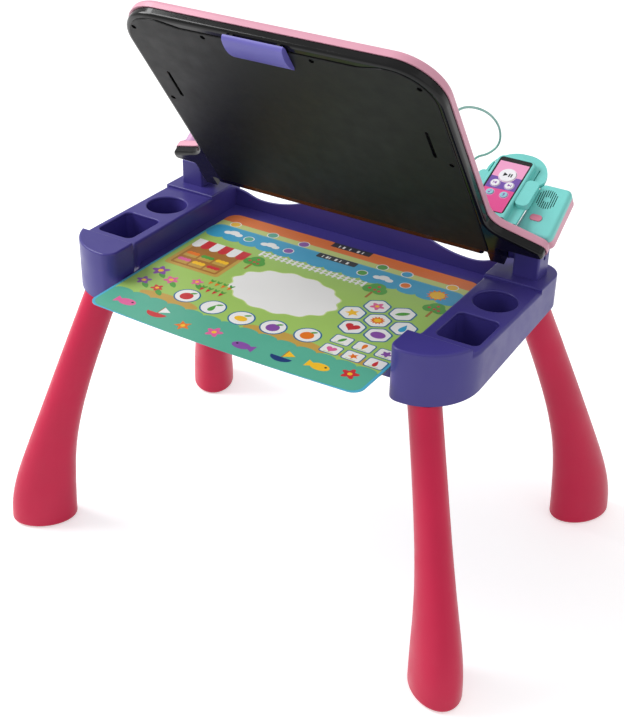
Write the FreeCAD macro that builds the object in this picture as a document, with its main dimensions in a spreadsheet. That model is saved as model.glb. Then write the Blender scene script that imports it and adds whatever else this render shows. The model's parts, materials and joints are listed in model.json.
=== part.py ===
import FreeCAD
import Part
import Sketcher
import math
import os
import re
from types import SimpleNamespace

# Child's activity desk: a base of two arms and a tray on four splayed legs, a lid that swings on
# two posts, and two loose pages. Frame: millimetres, +Z up, front towards -Y, origin on the floor
# under the middle of the feet. Lid pieces are written in the lid's own frame: across the desk (u),
# forward from the hinge (v) and up from the chalkboard face of the closed lid (w).

V = FreeCAD.Vector
UP = V(0, 0, 1)
ACROSS = V(1, 0, 0)
BACK = V(0, 1, 0)

# Driving dimensions: name, millimetres or degrees
SIZES = [
    # shared
    ("wall", 3.5), ("fit", 0.2), ("overrun", 2), ("screw_shank", 1.5), ("screw_head", 3.2),
    ("screw_head_thick", 2), ("board_thick", 1.6), ("boss_radius", 4.5),
    # arms
    ("desk_height", 430), ("arm_inner", 216), ("arm_outer", 297), ("arm_front", 179),
    ("arm_rear", 135), ("nose_inner", 206), ("nose_start", 112), ("nose_end", 132),
    ("nose_round", 16), ("nose_blend", 12), ("front_round", 72), ("heel_round", 30),
    ("inner_round", 3), ("arm_edge_round", 4), ("lip_height", 10), ("lip_rear", 130),
    ("lip_round", 3), ("platform_height", 4), ("platform_front", 62), ("platform_round", 2),
    ("arm_front_deep", 61), ("arm_rear_deep", 40), ("cover_thick", 3),
    # cups and bins
    ("cup_x", 257), ("cup_y", 9), ("cup_radius", 28.5), ("cup_depth", 39), ("rim_round", 2),
    ("bin_x", 259.5), ("bin_y", 72.5), ("bin_wide", 57), ("bin_long", 69), ("bin_depth", 44),
    ("bin_round", 9), ("pocket_wall", 2.5),
    # legs
    ("front_leg_x", 245), ("front_leg_y", 151), ("front_leg_turn", 43), ("front_leg_splay", 108),
    ("rear_leg_x", 264), ("rear_leg_y", 110), ("rear_leg_turn", 57), ("rear_leg_splay", 133),
    ("foot_long", 47), ("foot_wide", 33), ("foot_round", 6), ("leg_wall", 3), ("leg_gap", 0.3),
    ("spigot_radius", 16), ("spigot_gap", 14), ("socket_wall", 3.5), ("socket_stop", 3),
    ("socket_access", 10.5),
    # hinge posts
    ("hinge_y", 97), ("hinge_rise", 26), ("post_inset", 30), ("post_wide", 36), ("post_deep", 34),
    ("post_height", 36), ("post_round", 3), ("knuckle_radius", 11), ("knuckle_long", 9.7),
    ("pin_radius", 3), ("pin_fit", 0.05), ("pin_end_gap", 8), ("post_screw_reach", 13),
    ("post_screw_spread", 18), ("post_screw_inset", 11),
    # tray
    ("floor_drop", 32), ("floor_thick", 3.5), ("tray_front", 158), ("tray_front_round", 8),
    ("front_lip_drop", 14), ("rear_wall_y", 123), ("rear_wall_thick", 4), ("crest_rise", 36),
    ("dip_rise", 17), ("end_rise", 26), ("crest_half", 58), ("dip_x", 168), ("ledge_wide", 11),
    ("ledge_thick", 4.5), ("ledge_front", 105), ("ledge_rear", 118), ("rib_deep", 8),
    ("tray_screw_spread", 85),
    # pages
    ("page_half", 201), ("page_long", 292), ("page_thick", 1), ("page_round", 16),
    ("page_bulge", 9), ("page_front_rear", 54), ("page_back_shift", 40),
    # lid shells
    ("lid_open", 54.4), ("face_drop", 25.3), ("black_deep", 12), ("lid_deep", 24), ("face_wall", 4),
    ("lid_wall", 3), ("panel_half", 217), ("panel_shift", 10), ("panel_front", 384), ("panel_round", 58),
    ("panel_rear", 11), ("wing_root", 83), ("root_round", 30), ("tip_short", 2), ("wing_front", 53),
    ("wing_rear", 38), ("left_wing_rear", 48), ("wing_round", 6.5), ("left_wing_over", 32.5),
    ("left_wing_front", 62.3), ("lug_gap", 0.8),
    ("lug_wide", 19.5), ("lug_radius", 12), ("lug_rear", 20), ("lug_reach", 27), ("notch_gap", 8),
    ("small_round", 1.2), ("face_round", 5), ("pink_reach", 1.5), ("pink_wing_rear", 31),
    ("pink_wing_round", 11), ("pink_round", 6), ("pad_rise", 1.5), ("pad_edge", 1.1),
    ("pad_half", 210), ("pad_rear", 27), ("pad_front", 378.5), ("pad_round", 51),
    ("wave_out", 152), ("wave_in", 121), ("wave_drop", 6.5), ("wave_round", 24),
    ("slot_u", 182), ("slot_rear", 226), ("slot_front", 276), ("slot_wide", 5),
    ("slot_deep", 1.2), ("screw_bore_deep", 3), ("face_boss_top", 9),
    # page bed and its electronics
    ("bed_inset", 22), ("bed_rear", 94), ("bed_front", 362), ("bed_round", 36),
    ("bed_drop", 2), ("bed_thick", 2), ("pan_thick", 3), ("window_v", 225), ("window_half", 38),
    ("window_round", 8), ("window_seat", 3), ("light_board_half", 48), ("lamp_radius", 2.2),
    ("lamp_tall", 2.5), ("lamp_pitch", 14), ("board_drop", 4.4), ("film_thick", 0.8),
    ("film_half", 174), ("film_rear", 106), ("film_front", 350), ("film_round", 12),
    ("film_gap", 4), ("main_board_left", -90), ("main_board_right", 100), ("main_board_rear", 16),
    ("main_board_front", 72), ("chip_wide", 18), ("chip_tall", 2), ("reader_half", 50),
    ("reader_rear", 90), ("reader_front", 104), ("sensor_radius", 2.5), ("sensor_tall", 2),
    ("sensor_pitch", 16),
    # batteries
    ("cell_radius", 7.2), ("cell_long", 50), ("cell_pitch", 15.4), ("contact_long", 3),
    ("contact_radius", 4), ("box_u", -160), ("box_v", 42), ("box_wall", 2), ("box_floor", 1.2),
    ("box_overlap", 1), ("door_round", 4), ("box_low", 4.6),
    # paper clip
    ("clip_inset", 5), ("clip_drop", 3.6), ("clip_half", 41), ("clip_leaf", 36), ("clip_crown", 9.9),
    ("clip_thick", 2.4), ("clip_toe_gap", 0.3), ("clip_barrel", 3), ("clip_ear_in", 30),
    ("clip_ear_thick", 4.5), ("clip_pin_radius", 1.2), ("clip_side_gap", 0.5),
    ("clip_crest", 18), ("spring_half", 5), ("spring_radius", 2.6),
    # toy phone
    ("console_pitch", 59), ("phone_v", 79.5), ("phone_lean", 11.6), ("phone_wide", 52),
    ("phone_tall", 103), ("phone_round", 9), ("phone_front_deep", 9), ("phone_wall", 2.2),
    ("panel_wide", 45), ("panel_tall", 94.5), ("panel_low", 5), ("panel_thick", 1.6),
    ("panel_inset", 0.4), ("panel_corner", 4), ("shell_edge_round", 2), ("phone_back_left", 35.5),
    ("phone_back_right", 40.5), ("crown_right", 45), ("crown_low", 72), ("crown_step", 8),
    ("phone_back_tall", 119), ("phone_back_deep", 10), ("phone_sink", 9), ("ear_inset", 2),
    ("ear_low", 28), ("ear_tall", 44), ("ear_wide", 18), ("ear_left_wide", 13),
    ("ear_round", 7), ("groove_wide", 2), ("groove_gap", 4), ("groove_tall", 22), ("groove_deep", 3),
    ("play_radius", 11), ("play_rise", 64),
    ("skip_radius", 5.6), ("skip_rise", 47.5), ("skip_spread", 9.7), ("mode_radius", 4.8),
    ("mode_rise", 31), ("mode_spread", 9.6), ("button_proud", 1.2), ("button_gap", 0.3),
    ("button_flange", 1.2), ("flange_thick", 1.2), ("button_edge", 0.6),
    # speaker box
    ("speaker_u", 272.5), ("speaker_v", 54), ("speaker_wide", 51), ("speaker_tall", 76),
    ("speaker_slant", 9), ("speaker_bevel", 5),
    ("speaker_round", 8), ("speaker_front_deep", 10), ("speaker_deep", 28), ("speaker_wall", 2.4),
    ("grille_radius", 14), ("grille_rise", 54), ("grille_shift", 1), ("grille_slit", 1.2),
    ("grille_pitch", 2.8), ("grille_hub", 4),
    ("driver_radius", 11), ("driver_rim", 1.6), ("magnet_radius", 7), ("driver_cone", 5),
    ("magnet_deep", 7), ("oval_half_long", 8), ("oval_half_wide", 4.4), ("oval_rise", 25), ("oval_shift", 4),
    # power dome on the left wing
    ("power_inset", 14.5), ("power_v", 51), ("power_radius", 11.5), ("power_rise", 18), ("power_dome", 9),
    ("power_ring", 2), ("power_ring_tall", 2.4), ("power_flange", 1.5), ("power_flange_thick", 2),
    # stylus, its holder and its cord
    ("stylus_pitch", 55.5), ("stylus_v", 60), ("stylus_low", 7.3), ("stylus_radius", 7),
    ("stylus_long", 93), ("nib_long", 14), ("nib_radius", 2), ("cap_long", 15), ("cap_radius", 5),
    ("cap_edge", 3), ("holder_radius", 11), ("holder_low", 5), ("holder_top", 46),
    ("holder_flange", 13.5), ("holder_flange_thick", 2.5), ("holder_neck", 9.5), ("holder_gap", 0.35),
    ("holder_floor", 2), ("cord_radius", 1.5), ("anchor_inset", 17), ("anchor_v", 272), ("cord_lead", 10),
    ("anchor_radius", 4), ("anchor_tall", 3), ("anchor_edge", 1),
]

doc = FreeCAD.newDocument("activity_desk")
sheet = doc.addObject("Spreadsheet::Sheet", "dims")
for row, (name, value) in enumerate(SIZES, start=1):
    sheet.set("A%d" % row, name)
    sheet.set("B%d" % row, str(value))
    sheet.setAlias("B%d" % row, name)
doc.recompute()
d = SimpleNamespace(**{name: float(sheet.get(name)) for name, value in SIZES})

# Heights and places that several pieces share
floor_top = d.desk_height - d.floor_drop
floor_low = floor_top - d.floor_thick
platform_top = d.desk_height + d.platform_height
hinge_z = platform_top + d.hinge_rise
roof_low = d.desk_height - d.wall
under_front = d.desk_height - d.arm_front_deep
under_rear = d.desk_height - d.arm_rear_deep
leg_top = d.desk_height - d.spigot_gap
socket_radius = d.spigot_radius + d.fit
socket_outer = socket_radius + d.socket_wall
bed_top = d.lid_deep - d.bed_drop
bed_low = bed_top - d.bed_thick
pan_low = bed_low - d.pan_thick
plate_low = d.lid_deep - d.lid_wall
post_inner = d.arm_inner + d.post_inset
lug_outer = post_inner - d.knuckle_long - d.lug_gap
lug_inner = lug_outer - d.lug_wide
notch_in = lug_inner - d.notch_gap
wing_tip = d.speaker_u + d.speaker_wide / 2 - d.tip_short
left_wing_tip = lug_outer + d.left_wing_over
phone_u = d.speaker_u - d.console_pitch
stylus_u = phone_u - d.stylus_pitch
anchor_u = d.panel_half + d.panel_shift - d.anchor_inset
bed_half = d.panel_half - d.bed_inset
power_u = d.power_inset - left_wing_tip
clip_v = d.panel_front - d.clip_inset
clip_toe = clip_v - d.clip_leaf
lid_place = FreeCAD.Placement(V(0, d.hinge_y, hinge_z), FreeCAD.Rotation(ACROSS, -d.lid_open))
nodes = []


# Document helpers

def bound(text):
    return re.sub(r"[a-z_][a-z_0-9]*", r"dims.\g<0>", text)


def bind(item, **sizes):
    for prop, text in sizes.items():
        item.setExpression(prop.replace("__", "."), bound(text))
    return item


def node(item, label, place=None):
    item.Label = label
    if place is not None:
        item.Placement = place
    nodes.append(item)
    return item


def feature(label, shape, place=None):
    item = doc.addObject("Part::Feature", label)
    item.Shape = shape
    return node(item, label, place)


def body(label):
    return doc.addObject("PartDesign::Body", label)


def sketch_on(owner, name, role, offset=None):
    sketch = owner.newObject("Sketcher::SketchObject", name)
    plane = next(f for f in owner.Origin.OriginFeatures if f.Role == role)
    sketch.AttachmentSupport = [(plane, "")]
    sketch.MapMode = "FlatFace"
    if offset:
        sketch.setExpression("AttachmentOffset.Base.z", bound(offset))
    return sketch


def tie(sketch, kind, axis, edge, point, text):
    if text == "0":
        sketch.addConstraint(Sketcher.Constraint("PointOnObject", edge, point, axis))
    else:
        index = sketch.addConstraint(Sketcher.Constraint(kind, -1, 1, edge, point, 1.0))
        sketch.setExpression("Constraints[%d]" % index, bound(text))


# Closed outline of straight runs, each end tied to the sheet
def outline_sketch(owner, name, role, points, offset=None):
    sketch = sketch_on(owner, name, role, offset)
    count = len(points)
    for i in range(count):
        start = V(i, i * i, 0)
        end = V((i + 1) % count, ((i + 1) % count) ** 2, 0)
        sketch.addGeometry(Part.LineSegment(start, end))
    for i in range(count):
        sketch.addConstraint(Sketcher.Constraint("Coincident", i, 2, (i + 1) % count, 1))
    for i, (across, along) in enumerate(points):
        tie(sketch, "DistanceX", -2, i, 1, across)
        tie(sketch, "DistanceY", -1, i, 1, along)
    return sketch


def circle_sketch(owner, name, role, across, along, radius, offset=None):
    sketch = sketch_on(owner, name, role, offset)
    sketch.addGeometry(Part.Circle(V(1, 1, 0), UP, 1))
    tie(sketch, "DistanceX", -2, 0, 3, across)
    tie(sketch, "DistanceY", -1, 0, 3, along)
    index = sketch.addConstraint(Sketcher.Constraint("Radius", 0, 1.0))
    sketch.setExpression("Constraints[%d]" % index, bound(radius))
    return sketch


def pad(owner, sketch, length):
    item = owner.newObject("PartDesign::Pad", sketch.Name + "_pad")
    item.Profile = sketch
    item.setExpression("Length", bound(length))
    return item


def pocket_through(owner, sketch):
    item = owner.newObject("PartDesign::Pocket", sketch.Name + "_pocket")
    item.Profile = sketch
    item.Type = "ThroughAll"
    item.Midplane = True
    return item


# Piece turned about its own Z axis from a profile of (radius, height) points
def turned(label, points, place):
    owner = body(label)
    sketch = outline_sketch(owner, label + "_profile", "XZ_Plane", points)
    turn = owner.newObject("PartDesign::Revolution", label + "_turn")
    turn.Profile = sketch
    turn.ReferenceAxis = (sketch, ["V_Axis"])
    return node(owner, label, place)


# Shape helpers

# Gap, as a share of a run's length, under which two arcs of an outline meet with no straight run
tiny_share = 1e-6


def rounded_wire(corners, height):
    spans = []
    for i, (x, y, radius) in enumerate(corners):
        point = V(x, y, height)
        before = V(corners[i - 1][0], corners[i - 1][1], height) - point
        after = V(corners[(i + 1) % len(corners)][0], corners[(i + 1) % len(corners)][1], height) - point
        before.normalize()
        after.normalize()
        half = before.getAngle(after) / 2
        if radius == 0:
            spans.append((point, None, point))
            continue
        reach = radius / math.tan(half)
        inward = (before + after).normalize()
        middle = point + inward * (radius / math.sin(half) - radius)
        spans.append((point + before * reach, middle, point + after * reach))
    edges = []
    for i, (start, middle, end) in enumerate(spans):
        last = spans[i - 1][2]
        if not last.isEqual(start, tiny_share * (end - last).Length):
            edges.append(Part.LineSegment(last, start).toShape())
        if middle is not None:
            edges.append(Part.Arc(start, middle, end).toShape())
    return Part.Wire(edges)


def prism(corners, low, high):
    return Part.Face(rounded_wire(corners, low)).extrude(UP * (high - low))


def inset_prism(corners, inset, low, high):
    face = Part.Face(rounded_wire(corners, low)).makeOffset2D(-inset, 2)
    return face.extrude(UP * (high - low))


def box(x0, x1, y0, y1, z0, z1):
    return Part.makeBox(x1 - x0, y1 - y0, z1 - z0, V(x0, y0, z0))


def rectangle(x0, x1, y0, y1, radius):
    return [(x0, y0, radius), (x1, y0, radius), (x1, y1, radius), (x0, y1, radius)]


def level_edges(shape, height):
    flat = []
    for edge in shape.Edges:
        limits = edge.BoundBox
        if abs(limits.ZMin - height) < d.pin_fit and abs(limits.ZMax - height) < d.pin_fit:
            flat.append(edge)
    return flat


def rounded_level(shape, height, radius):
    solid = shape.removeSplitter().Solids[0]
    return solid.makeFillet(radius, level_edges(solid, height))


def mirrored(shape):
    return shape.mirror(V(), ACROSS)


def both_sides(half):
    return half + [(-u, v, r) for u, v, r in reversed(half) if u != 0]


def lid_prism(corners, low, high):
    return prism([(u, -v, r) for u, v, r in corners], low - d.face_drop, high - d.face_drop)


def lid_inset(corners, inset, low, high):
    shown = [(u, -v, r) for u, v, r in corners]
    return inset_prism(shown, inset, low - d.face_drop, high - d.face_drop)


def lid_box(u0, u1, v0, v1, w0, w1):
    return box(u0, u1, -v1, -v0, w0 - d.face_drop, w1 - d.face_drop)


def lid_rod(u, v, low, high, radius):
    return Part.makeCylinder(radius, high - low, V(u, -v, low - d.face_drop))


def lid_point(u, v, w):
    return V(u, -v, w - d.face_drop)


def lid_at(u, v, w):
    return lid_place.multiply(FreeCAD.Placement(lid_point(u, v, w), FreeCAD.Rotation()))


# Radius of the arc that rounds an outline's middle point, for a bulge over half its width
crown_share = 0.74


def crown_round(half, bulge):
    return crown_share * half * half / bulge


# Arms

def arm_outline():
    return [
        (d.arm_inner, d.arm_rear, d.inner_round), (d.arm_inner, -d.nose_start, d.nose_blend),
        (d.nose_inner, -d.nose_end, d.nose_blend), (d.nose_inner, -d.arm_front, d.nose_round),
        (d.arm_outer, -d.arm_front, d.front_round), (d.arm_outer, d.arm_rear, d.heel_round)]


leg_places = [("front", d.front_leg_x, -d.front_leg_y, -d.front_leg_turn, d.front_leg_splay),
              ("rear", d.rear_leg_x, d.rear_leg_y, d.rear_leg_turn, d.rear_leg_splay)]
cover_screw_shares = [(0.085, 0.455), (0.915, 0.475), (0.085, 0.92)]


def cover_screw_places():
    wide = d.arm_outer - d.arm_inner
    long = d.arm_rear + d.arm_front
    return [(d.arm_inner + a * wide, -d.arm_front + b * long) for a, b in cover_screw_shares]


# Height of the arms' sloping underside at a place along the desk
def underside(y):
    slope = (under_rear - under_front) / (d.arm_rear + d.arm_front)
    return under_front + slope * (y + d.arm_front)


# Layer that follows the sloping underside, between two heights above it
def underside_layer(low, high):
    front = -d.arm_front - d.wall
    rear = d.arm_rear + d.wall
    corners = [V(0, front, underside(front) + low), V(0, rear, underside(rear) + low),
               V(0, rear, underside(rear) + high), V(0, front, underside(front) + high)]
    layer = Part.Face(Part.makePolygon(corners + corners[:1]))
    return layer.extrude(ACROSS * (d.arm_outer + d.wall))


def bin_corners(grow):
    return rectangle(d.bin_x - d.bin_wide / 2 - grow, d.bin_x + d.bin_wide / 2 + grow,
                     -d.bin_y - d.bin_long / 2 - grow, -d.bin_y + d.bin_long / 2 + grow,
                     d.bin_round + grow)


def arm_shape():
    outline = arm_outline()
    blank = prism(outline, under_front, d.desk_height)
    blank = rounded_level(blank, d.desk_height, d.arm_edge_round)
    shell = blank.cut(inset_prism(outline, d.wall, under_front - d.overrun, roof_low))
    # pockets, sockets and bosses hang from the roof
    cup_low = d.desk_height - d.cup_depth - d.pocket_wall
    bin_low = d.desk_height - d.bin_depth - d.pocket_wall
    cup_outer = d.cup_radius + d.pocket_wall
    hung = [Part.makeCylinder(cup_outer, roof_low - cup_low, V(d.cup_x, d.cup_y, cup_low)),
            prism(bin_corners(d.pocket_wall), bin_low, roof_low)]
    for end, x, y, turn, reach in leg_places:
        foot = V(x, y, under_front)
        hung.append(Part.makeCylinder(socket_outer, roof_low - under_front, foot))
    for x, y in cover_screw_places():
        low = underside(y + d.boss_radius) + d.cover_thick
        hung.append(Part.makeCylinder(d.boss_radius, roof_low - low, V(x, y, low)))
    inside = prism(outline, under_front, d.desk_height - d.arm_edge_round)
    arm = shell.fuse([piece.common(inside) for piece in hung])
    # raised lip at the front and platform under the post
    lip = prism(outline, d.desk_height - d.wall, d.desk_height + d.lip_height)
    lip = lip.common(box(0, d.arm_outer, -d.arm_front, -d.lip_rear, 0, d.desk_height + d.lip_height))
    lip = rounded_level(lip, d.desk_height + d.lip_height, d.lip_round)
    platform = prism(outline, d.desk_height - d.wall, platform_top)
    platform = platform.common(box(0, d.arm_outer, d.platform_front, d.arm_rear, 0, platform_top))
    platform = rounded_level(platform, platform_top, d.platform_round)
    ledge = box(d.arm_inner - d.ledge_wide, d.arm_inner + d.wall, -d.ledge_front, d.ledge_rear,
                floor_low - d.ledge_thick, floor_low)
    arm = arm.fuse([lip, platform, ledge])
    # openings
    top = d.desk_height + d.overrun
    cup_floor = V(d.cup_x, d.cup_y, cup_low + d.pocket_wall)
    cuts = [Part.makeCylinder(d.cup_radius, d.cup_depth + d.overrun, cup_floor),
            prism(bin_corners(0), bin_low + d.pocket_wall, top)]
    for end, x, y, turn, reach in leg_places:
        low = under_front - d.overrun
        cuts.append(Part.makeCylinder(socket_radius, leg_top - low, V(x, y, low)))
        stop_top = leg_top + d.socket_stop
        cuts.append(Part.makeCylinder(socket_radius, roof_low - stop_top, V(x, y, stop_top)))
        cuts.append(Part.makeCylinder(d.socket_access, roof_low - leg_top, V(x, y, leg_top)))
    for x, y in post_screw_places():
        cuts.append(Part.makeCylinder(d.screw_shank, platform_top - roof_low, V(x, y, roof_low)))
    for x, y in tray_screw_places():
        cuts.append(Part.makeCylinder(d.screw_shank, d.ledge_thick, V(x, y, floor_low - d.ledge_thick)))
    for x, y in cover_screw_places():
        low = underside(y)
        cuts.append(Part.makeCylinder(d.screw_shank, d.post_screw_reach, V(x, y, low + d.cover_thick)))
    arm = arm.cut(cuts)
    arm = arm.cut(underside_layer(-d.arm_front, 0)).removeSplitter()
    rims = []
    bin_space = prism(bin_corners(d.fit), 0, top)
    for edge in level_edges(arm, d.desk_height):
        centre = edge.BoundBox.Center
        in_cup = math.hypot(centre.x - d.cup_x, centre.y - d.cup_y) < d.cup_radius
        if in_cup or bin_space.isInside(centre, d.fit, True):
            rims.append(edge)
    return arm.makeFillet(d.rim_round, rims)


def arm_cover_shape():
    inside = inset_prism(arm_outline(), d.wall + d.fit, under_front, d.desk_height)
    cover = inside.common(underside_layer(0, d.cover_thick))
    for end, x, y, turn, reach in leg_places:
        cover = cover.cut(Part.makeCylinder(socket_outer + d.fit, d.desk_height, V(x, y, 0)))
    for x, y in cover_screw_places():
        cover = cover.cut(Part.makeCylinder(d.screw_shank, d.desk_height, V(x, y, 0)))
    return cover


def post_screw_places():
    middle = post_inner + d.post_wide / 2
    y = d.hinge_y - d.post_screw_inset
    return [(middle - d.post_screw_spread / 2, y), (middle + d.post_screw_spread / 2, y)]


def tray_screw_places():
    x = d.arm_inner - d.ledge_wide / 2
    middle = (d.ledge_rear - d.ledge_front) / 2
    return [(x, middle - d.tray_screw_spread), (x, middle), (x, middle + d.tray_screw_spread)]


# Screws of one kind, as one group: seat is the underside of the head, along is the way it drives
def screw_group(label, seats, along, length, place=None):
    screws = []
    for seat in seats:
        head = Part.makeCylinder(d.screw_head, d.screw_head_thick, seat - along * d.screw_head_thick, along)
        screws.append(head.fuse(Part.makeCylinder(d.screw_shank, length, seat, along)).removeSplitter())
    return feature(label, Part.makeCompound(screws), place)


def mirrored_seats(places, height):
    return [V(side * x, y, height) for x, y in places for side in (1, -1)]


arm = arm_shape()
feature("right_arm", arm)
feature("left_arm", mirrored(arm))
cover = arm_cover_shape()
feature("right_arm_cover", cover)
feature("left_arm_cover", mirrored(cover))
screw_group("post_screws", mirrored_seats(post_screw_places(), roof_low), UP,
            platform_top - roof_low + d.post_screw_reach)
screw_group("tray_screws", mirrored_seats(tray_screw_places(), floor_low - d.ledge_thick), UP,
            d.ledge_thick + d.floor_thick - d.fit)
# the heads stay clear of the slope, so they seat at its lower side
cover_seats = [V(side * x, y, underside(y - d.screw_head))
               for x, y in cover_screw_places() for side in (1, -1)]
screw_group("cover_screws", cover_seats, UP, d.cover_thick + d.post_screw_reach)


# Legs

# Shares that shape the leg: how softly it bends to upright at the foot, and for its radial and
# sideways half widths the share left at the top and the height share where half the flare is gone
bend_soft_share = 0.6
radial_shares = (0.495, 0.345)
sideways_shares = (0.604, 0.324)
flare_power = 2.6
leg_rings = 14


def flare(height_share, shares):
    top, half_height = shares
    return top + (1 - top) / (1 + (height_share / half_height) ** flare_power)


def splay(height_share):
    reach = 1 + bend_soft_share
    return reach - math.sqrt(bend_soft_share ** 2 + (reach ** 2 - bend_soft_share ** 2) * height_share ** 2)


def leg_loft(reach, shoulder, inset):
    rings = []
    for step in range(leg_rings + 1):
        height = step / leg_rings
        centre = V(splay(height) * reach, 0, height * shoulder)
        long = flare(height, radial_shares) * d.foot_long - inset
        wide = flare(height, sideways_shares) * d.foot_wide - inset
        rings.append(Part.Wire(Part.Ellipse(centre, long, wide).toShape()))
    return Part.makeLoft(rings, True)


# The shoulder stays just under the lowest edge of the arm above it
def leg_shape(y, reach):
    shoulder = underside(y - radial_shares[0] * d.foot_long) - d.leg_gap
    outer = rounded_level(leg_loft(reach, shoulder, 0), 0, d.foot_round)
    spigot = Part.makeCylinder(d.spigot_radius, leg_top - shoulder, V(0, 0, shoulder))
    inside = box(-reach, reach * 2, -reach, reach, d.foot_round, shoulder)
    hollow = leg_loft(reach, shoulder, d.leg_wall).common(inside)
    bore = Part.makeCylinder(d.spigot_radius - d.leg_wall, leg_top - shoulder, V(0, 0, shoulder))
    return outer.fuse(spigot).cut([hollow, bore])


for end, x, y, turn, reach in leg_places:
    leg = leg_shape(y, reach)
    for side, name in ((-1, "left"), (1, "right")):
        angle = turn if side == 1 else 180 - turn
        feature("leg_%s_%s" % (end, name), leg.copy(),
                FreeCAD.Placement(V(side * x, y, 0), FreeCAD.Rotation(UP, angle)))


# Tray

# Two tangent arcs that ease from one height to another, level at both ends
def ease(start, end):
    run, rise = end.x - start.x, end.z - start.z
    radius = (run * run + rise * rise) / (4 * abs(rise))
    turn = math.asin(abs(run) / 2 / radius) / 2
    step_x = math.copysign(radius * math.sin(turn), run)
    step_z = math.copysign(radius * (1 - math.cos(turn)), rise)
    middle = (start + end) * 0.5
    return [Part.Arc(start, start + V(step_x, 0, step_z), middle).toShape(),
            Part.Arc(middle, end - V(step_x, 0, step_z), end).toShape()]


def rear_wall():
    half = d.arm_inner - d.fit
    y = d.rear_wall_y
    crest, dip, end = (floor_top + rise for rise in (d.crest_rise, d.dip_rise, d.end_rise))
    right = [V(d.crest_half, y, crest), V(d.dip_x, y, dip), V(half, y, end)]
    left = [V(-p.x, p.y, p.z) for p in right]
    low_left, low_right = V(-half, y, floor_low), V(half, y, floor_low)
    edges = ease(left[2], left[1]) + ease(left[1], left[0])
    edges.append(Part.LineSegment(left[0], right[0]).toShape())
    edges += ease(right[0], right[1]) + ease(right[1], right[2])
    edges.append(Part.LineSegment(right[2], low_right).toShape())
    edges.append(Part.LineSegment(low_right, low_left).toShape())
    edges.append(Part.LineSegment(low_left, left[2]).toShape())
    return Part.Face(Part.Wire(edges)).extrude(BACK * d.rear_wall_thick)


def tray_shape():
    wide, narrow = d.arm_inner - d.fit, d.nose_inner - d.fit
    ease_back = d.nose_end - d.nose_start
    half = [(narrow, -d.tray_front, d.tray_front_round), (narrow, -d.nose_end + ease_back / 2, d.nose_blend),
            (wide, -d.nose_start + ease_back / 2, d.nose_blend), (wide, d.rear_wall_y, 0)]
    plate = prism(both_sides(half), floor_low, floor_top)
    lip_low = floor_top - d.front_lip_drop
    lip = box(-narrow, narrow, -d.tray_front, -d.tray_front + d.wall, lip_low, floor_low)
    lip = lip.common(prism(both_sides(half), lip_low, floor_low))
    under = d.arm_inner - d.ledge_wide - d.wall
    ribs = [box(-under, under, y, y + d.floor_thick, floor_low - d.rib_deep, floor_low)
            for y in (-d.ledge_front, 0, d.ledge_front)]
    tray = plate.fuse([lip, rear_wall()] + ribs)
    holes = [Part.makeCylinder(d.screw_shank, d.floor_thick - d.fit, seat)
             for seat in mirrored_seats(tray_screw_places(), floor_low)]
    return tray.cut(holes).removeSplitter()


feature("tray", tray_shape())


# Hinge posts and pins

for side, name in ((-1, "left"), (1, "right")):
    label = name + "_hinge_post"
    post = body(label)
    front, rear = "hinge_y - post_deep / 2", "hinge_y + post_deep / 2"
    inner = "(arm_inner + post_inset)"
    low = "desk_height + platform_height"
    high = low + " + post_height"
    start = inner if side == 1 else "-%s - post_wide" % inner
    block = outline_sketch(post, label + "_block", "YZ_Plane",
                           [(front, low), (rear, low), (rear, high), (front, high)], start)
    solid = pad(post, block, "post_wide")
    doc.recompute()
    edges = [i for i, e in enumerate(post.Shape.Edges, start=1)
             if e.BoundBox.ZLength > d.post_round or e.BoundBox.ZMin > platform_top + d.post_round]
    soft = post.newObject("PartDesign::Fillet", label + "_soft")
    soft.Base = (solid, ["Edge%d" % i for i in edges])
    soft.setExpression("Radius", bound("post_round"))
    axis_height = low + " + hinge_rise"
    reach = inner + " - knuckle_long" if side == 1 else "-%s - post_round" % inner
    knuckle = circle_sketch(post, label + "_knuckle", "YZ_Plane", "hinge_y", axis_height,
                            "knuckle_radius", reach)
    pad(post, knuckle, "knuckle_long + post_round")
    doc.recompute()
    pocket_through(post, circle_sketch(post, label + "_bore", "YZ_Plane", "hinge_y", axis_height,
                                       "pin_radius + pin_fit"))
    doc.recompute()
    node(post, label)

# screw holes run up into the posts
for post in [item for item in nodes if item.Label.endswith("hinge_post")]:
    side = 1 if post.Label.startswith("right") else -1
    for k, sign in enumerate(("-", "+")):
        middle = "(arm_inner + post_inset + post_wide / 2 %s post_screw_spread / 2)" % sign
        across = middle if side == 1 else "-" + middle
        hole = circle_sketch(post, "%s_hole_%d" % (post.Label, k), "XY_Plane", across,
                             "hinge_y - post_screw_inset", "screw_shank", "desk_height + platform_height")
        drill = post.newObject("PartDesign::Pocket", hole.Name + "_drill")
        drill.Profile = hole
        drill.Reversed = True
        drill.setExpression("Length", bound("post_screw_reach"))
doc.recompute()

pins = []
for side in (1, -1):
    pin = doc.addObject("Part::Cylinder", "hinge_pin")
    bind(pin, Radius="pin_radius",
         Height="lug_wide + lug_gap + knuckle_long + post_wide - pin_end_gap")
    pin.Placement = FreeCAD.Placement(V(), FreeCAD.Rotation(UP, ACROSS * side))
    start = "(arm_inner + post_inset - knuckle_long - lug_gap - lug_wide)"
    pin.setExpression("Placement.Base.x", bound(start if side == 1 else "-" + start))
    pins.append(pin)
group = doc.addObject("Part::Compound", "hinge_pins")
group.Links = pins
node(group, "hinge_pins", lid_place)


# Pages

def page_shape(rear, low):
    half = [(0, rear - d.page_long - d.page_bulge / 2, crown_round(d.page_half, d.page_bulge)),
            (d.page_half, rear - d.page_long + d.page_bulge / 2, d.page_round),
            (d.page_half, rear, d.page_round)]
    return prism(both_sides(half), low, low + d.page_thick)


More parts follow.
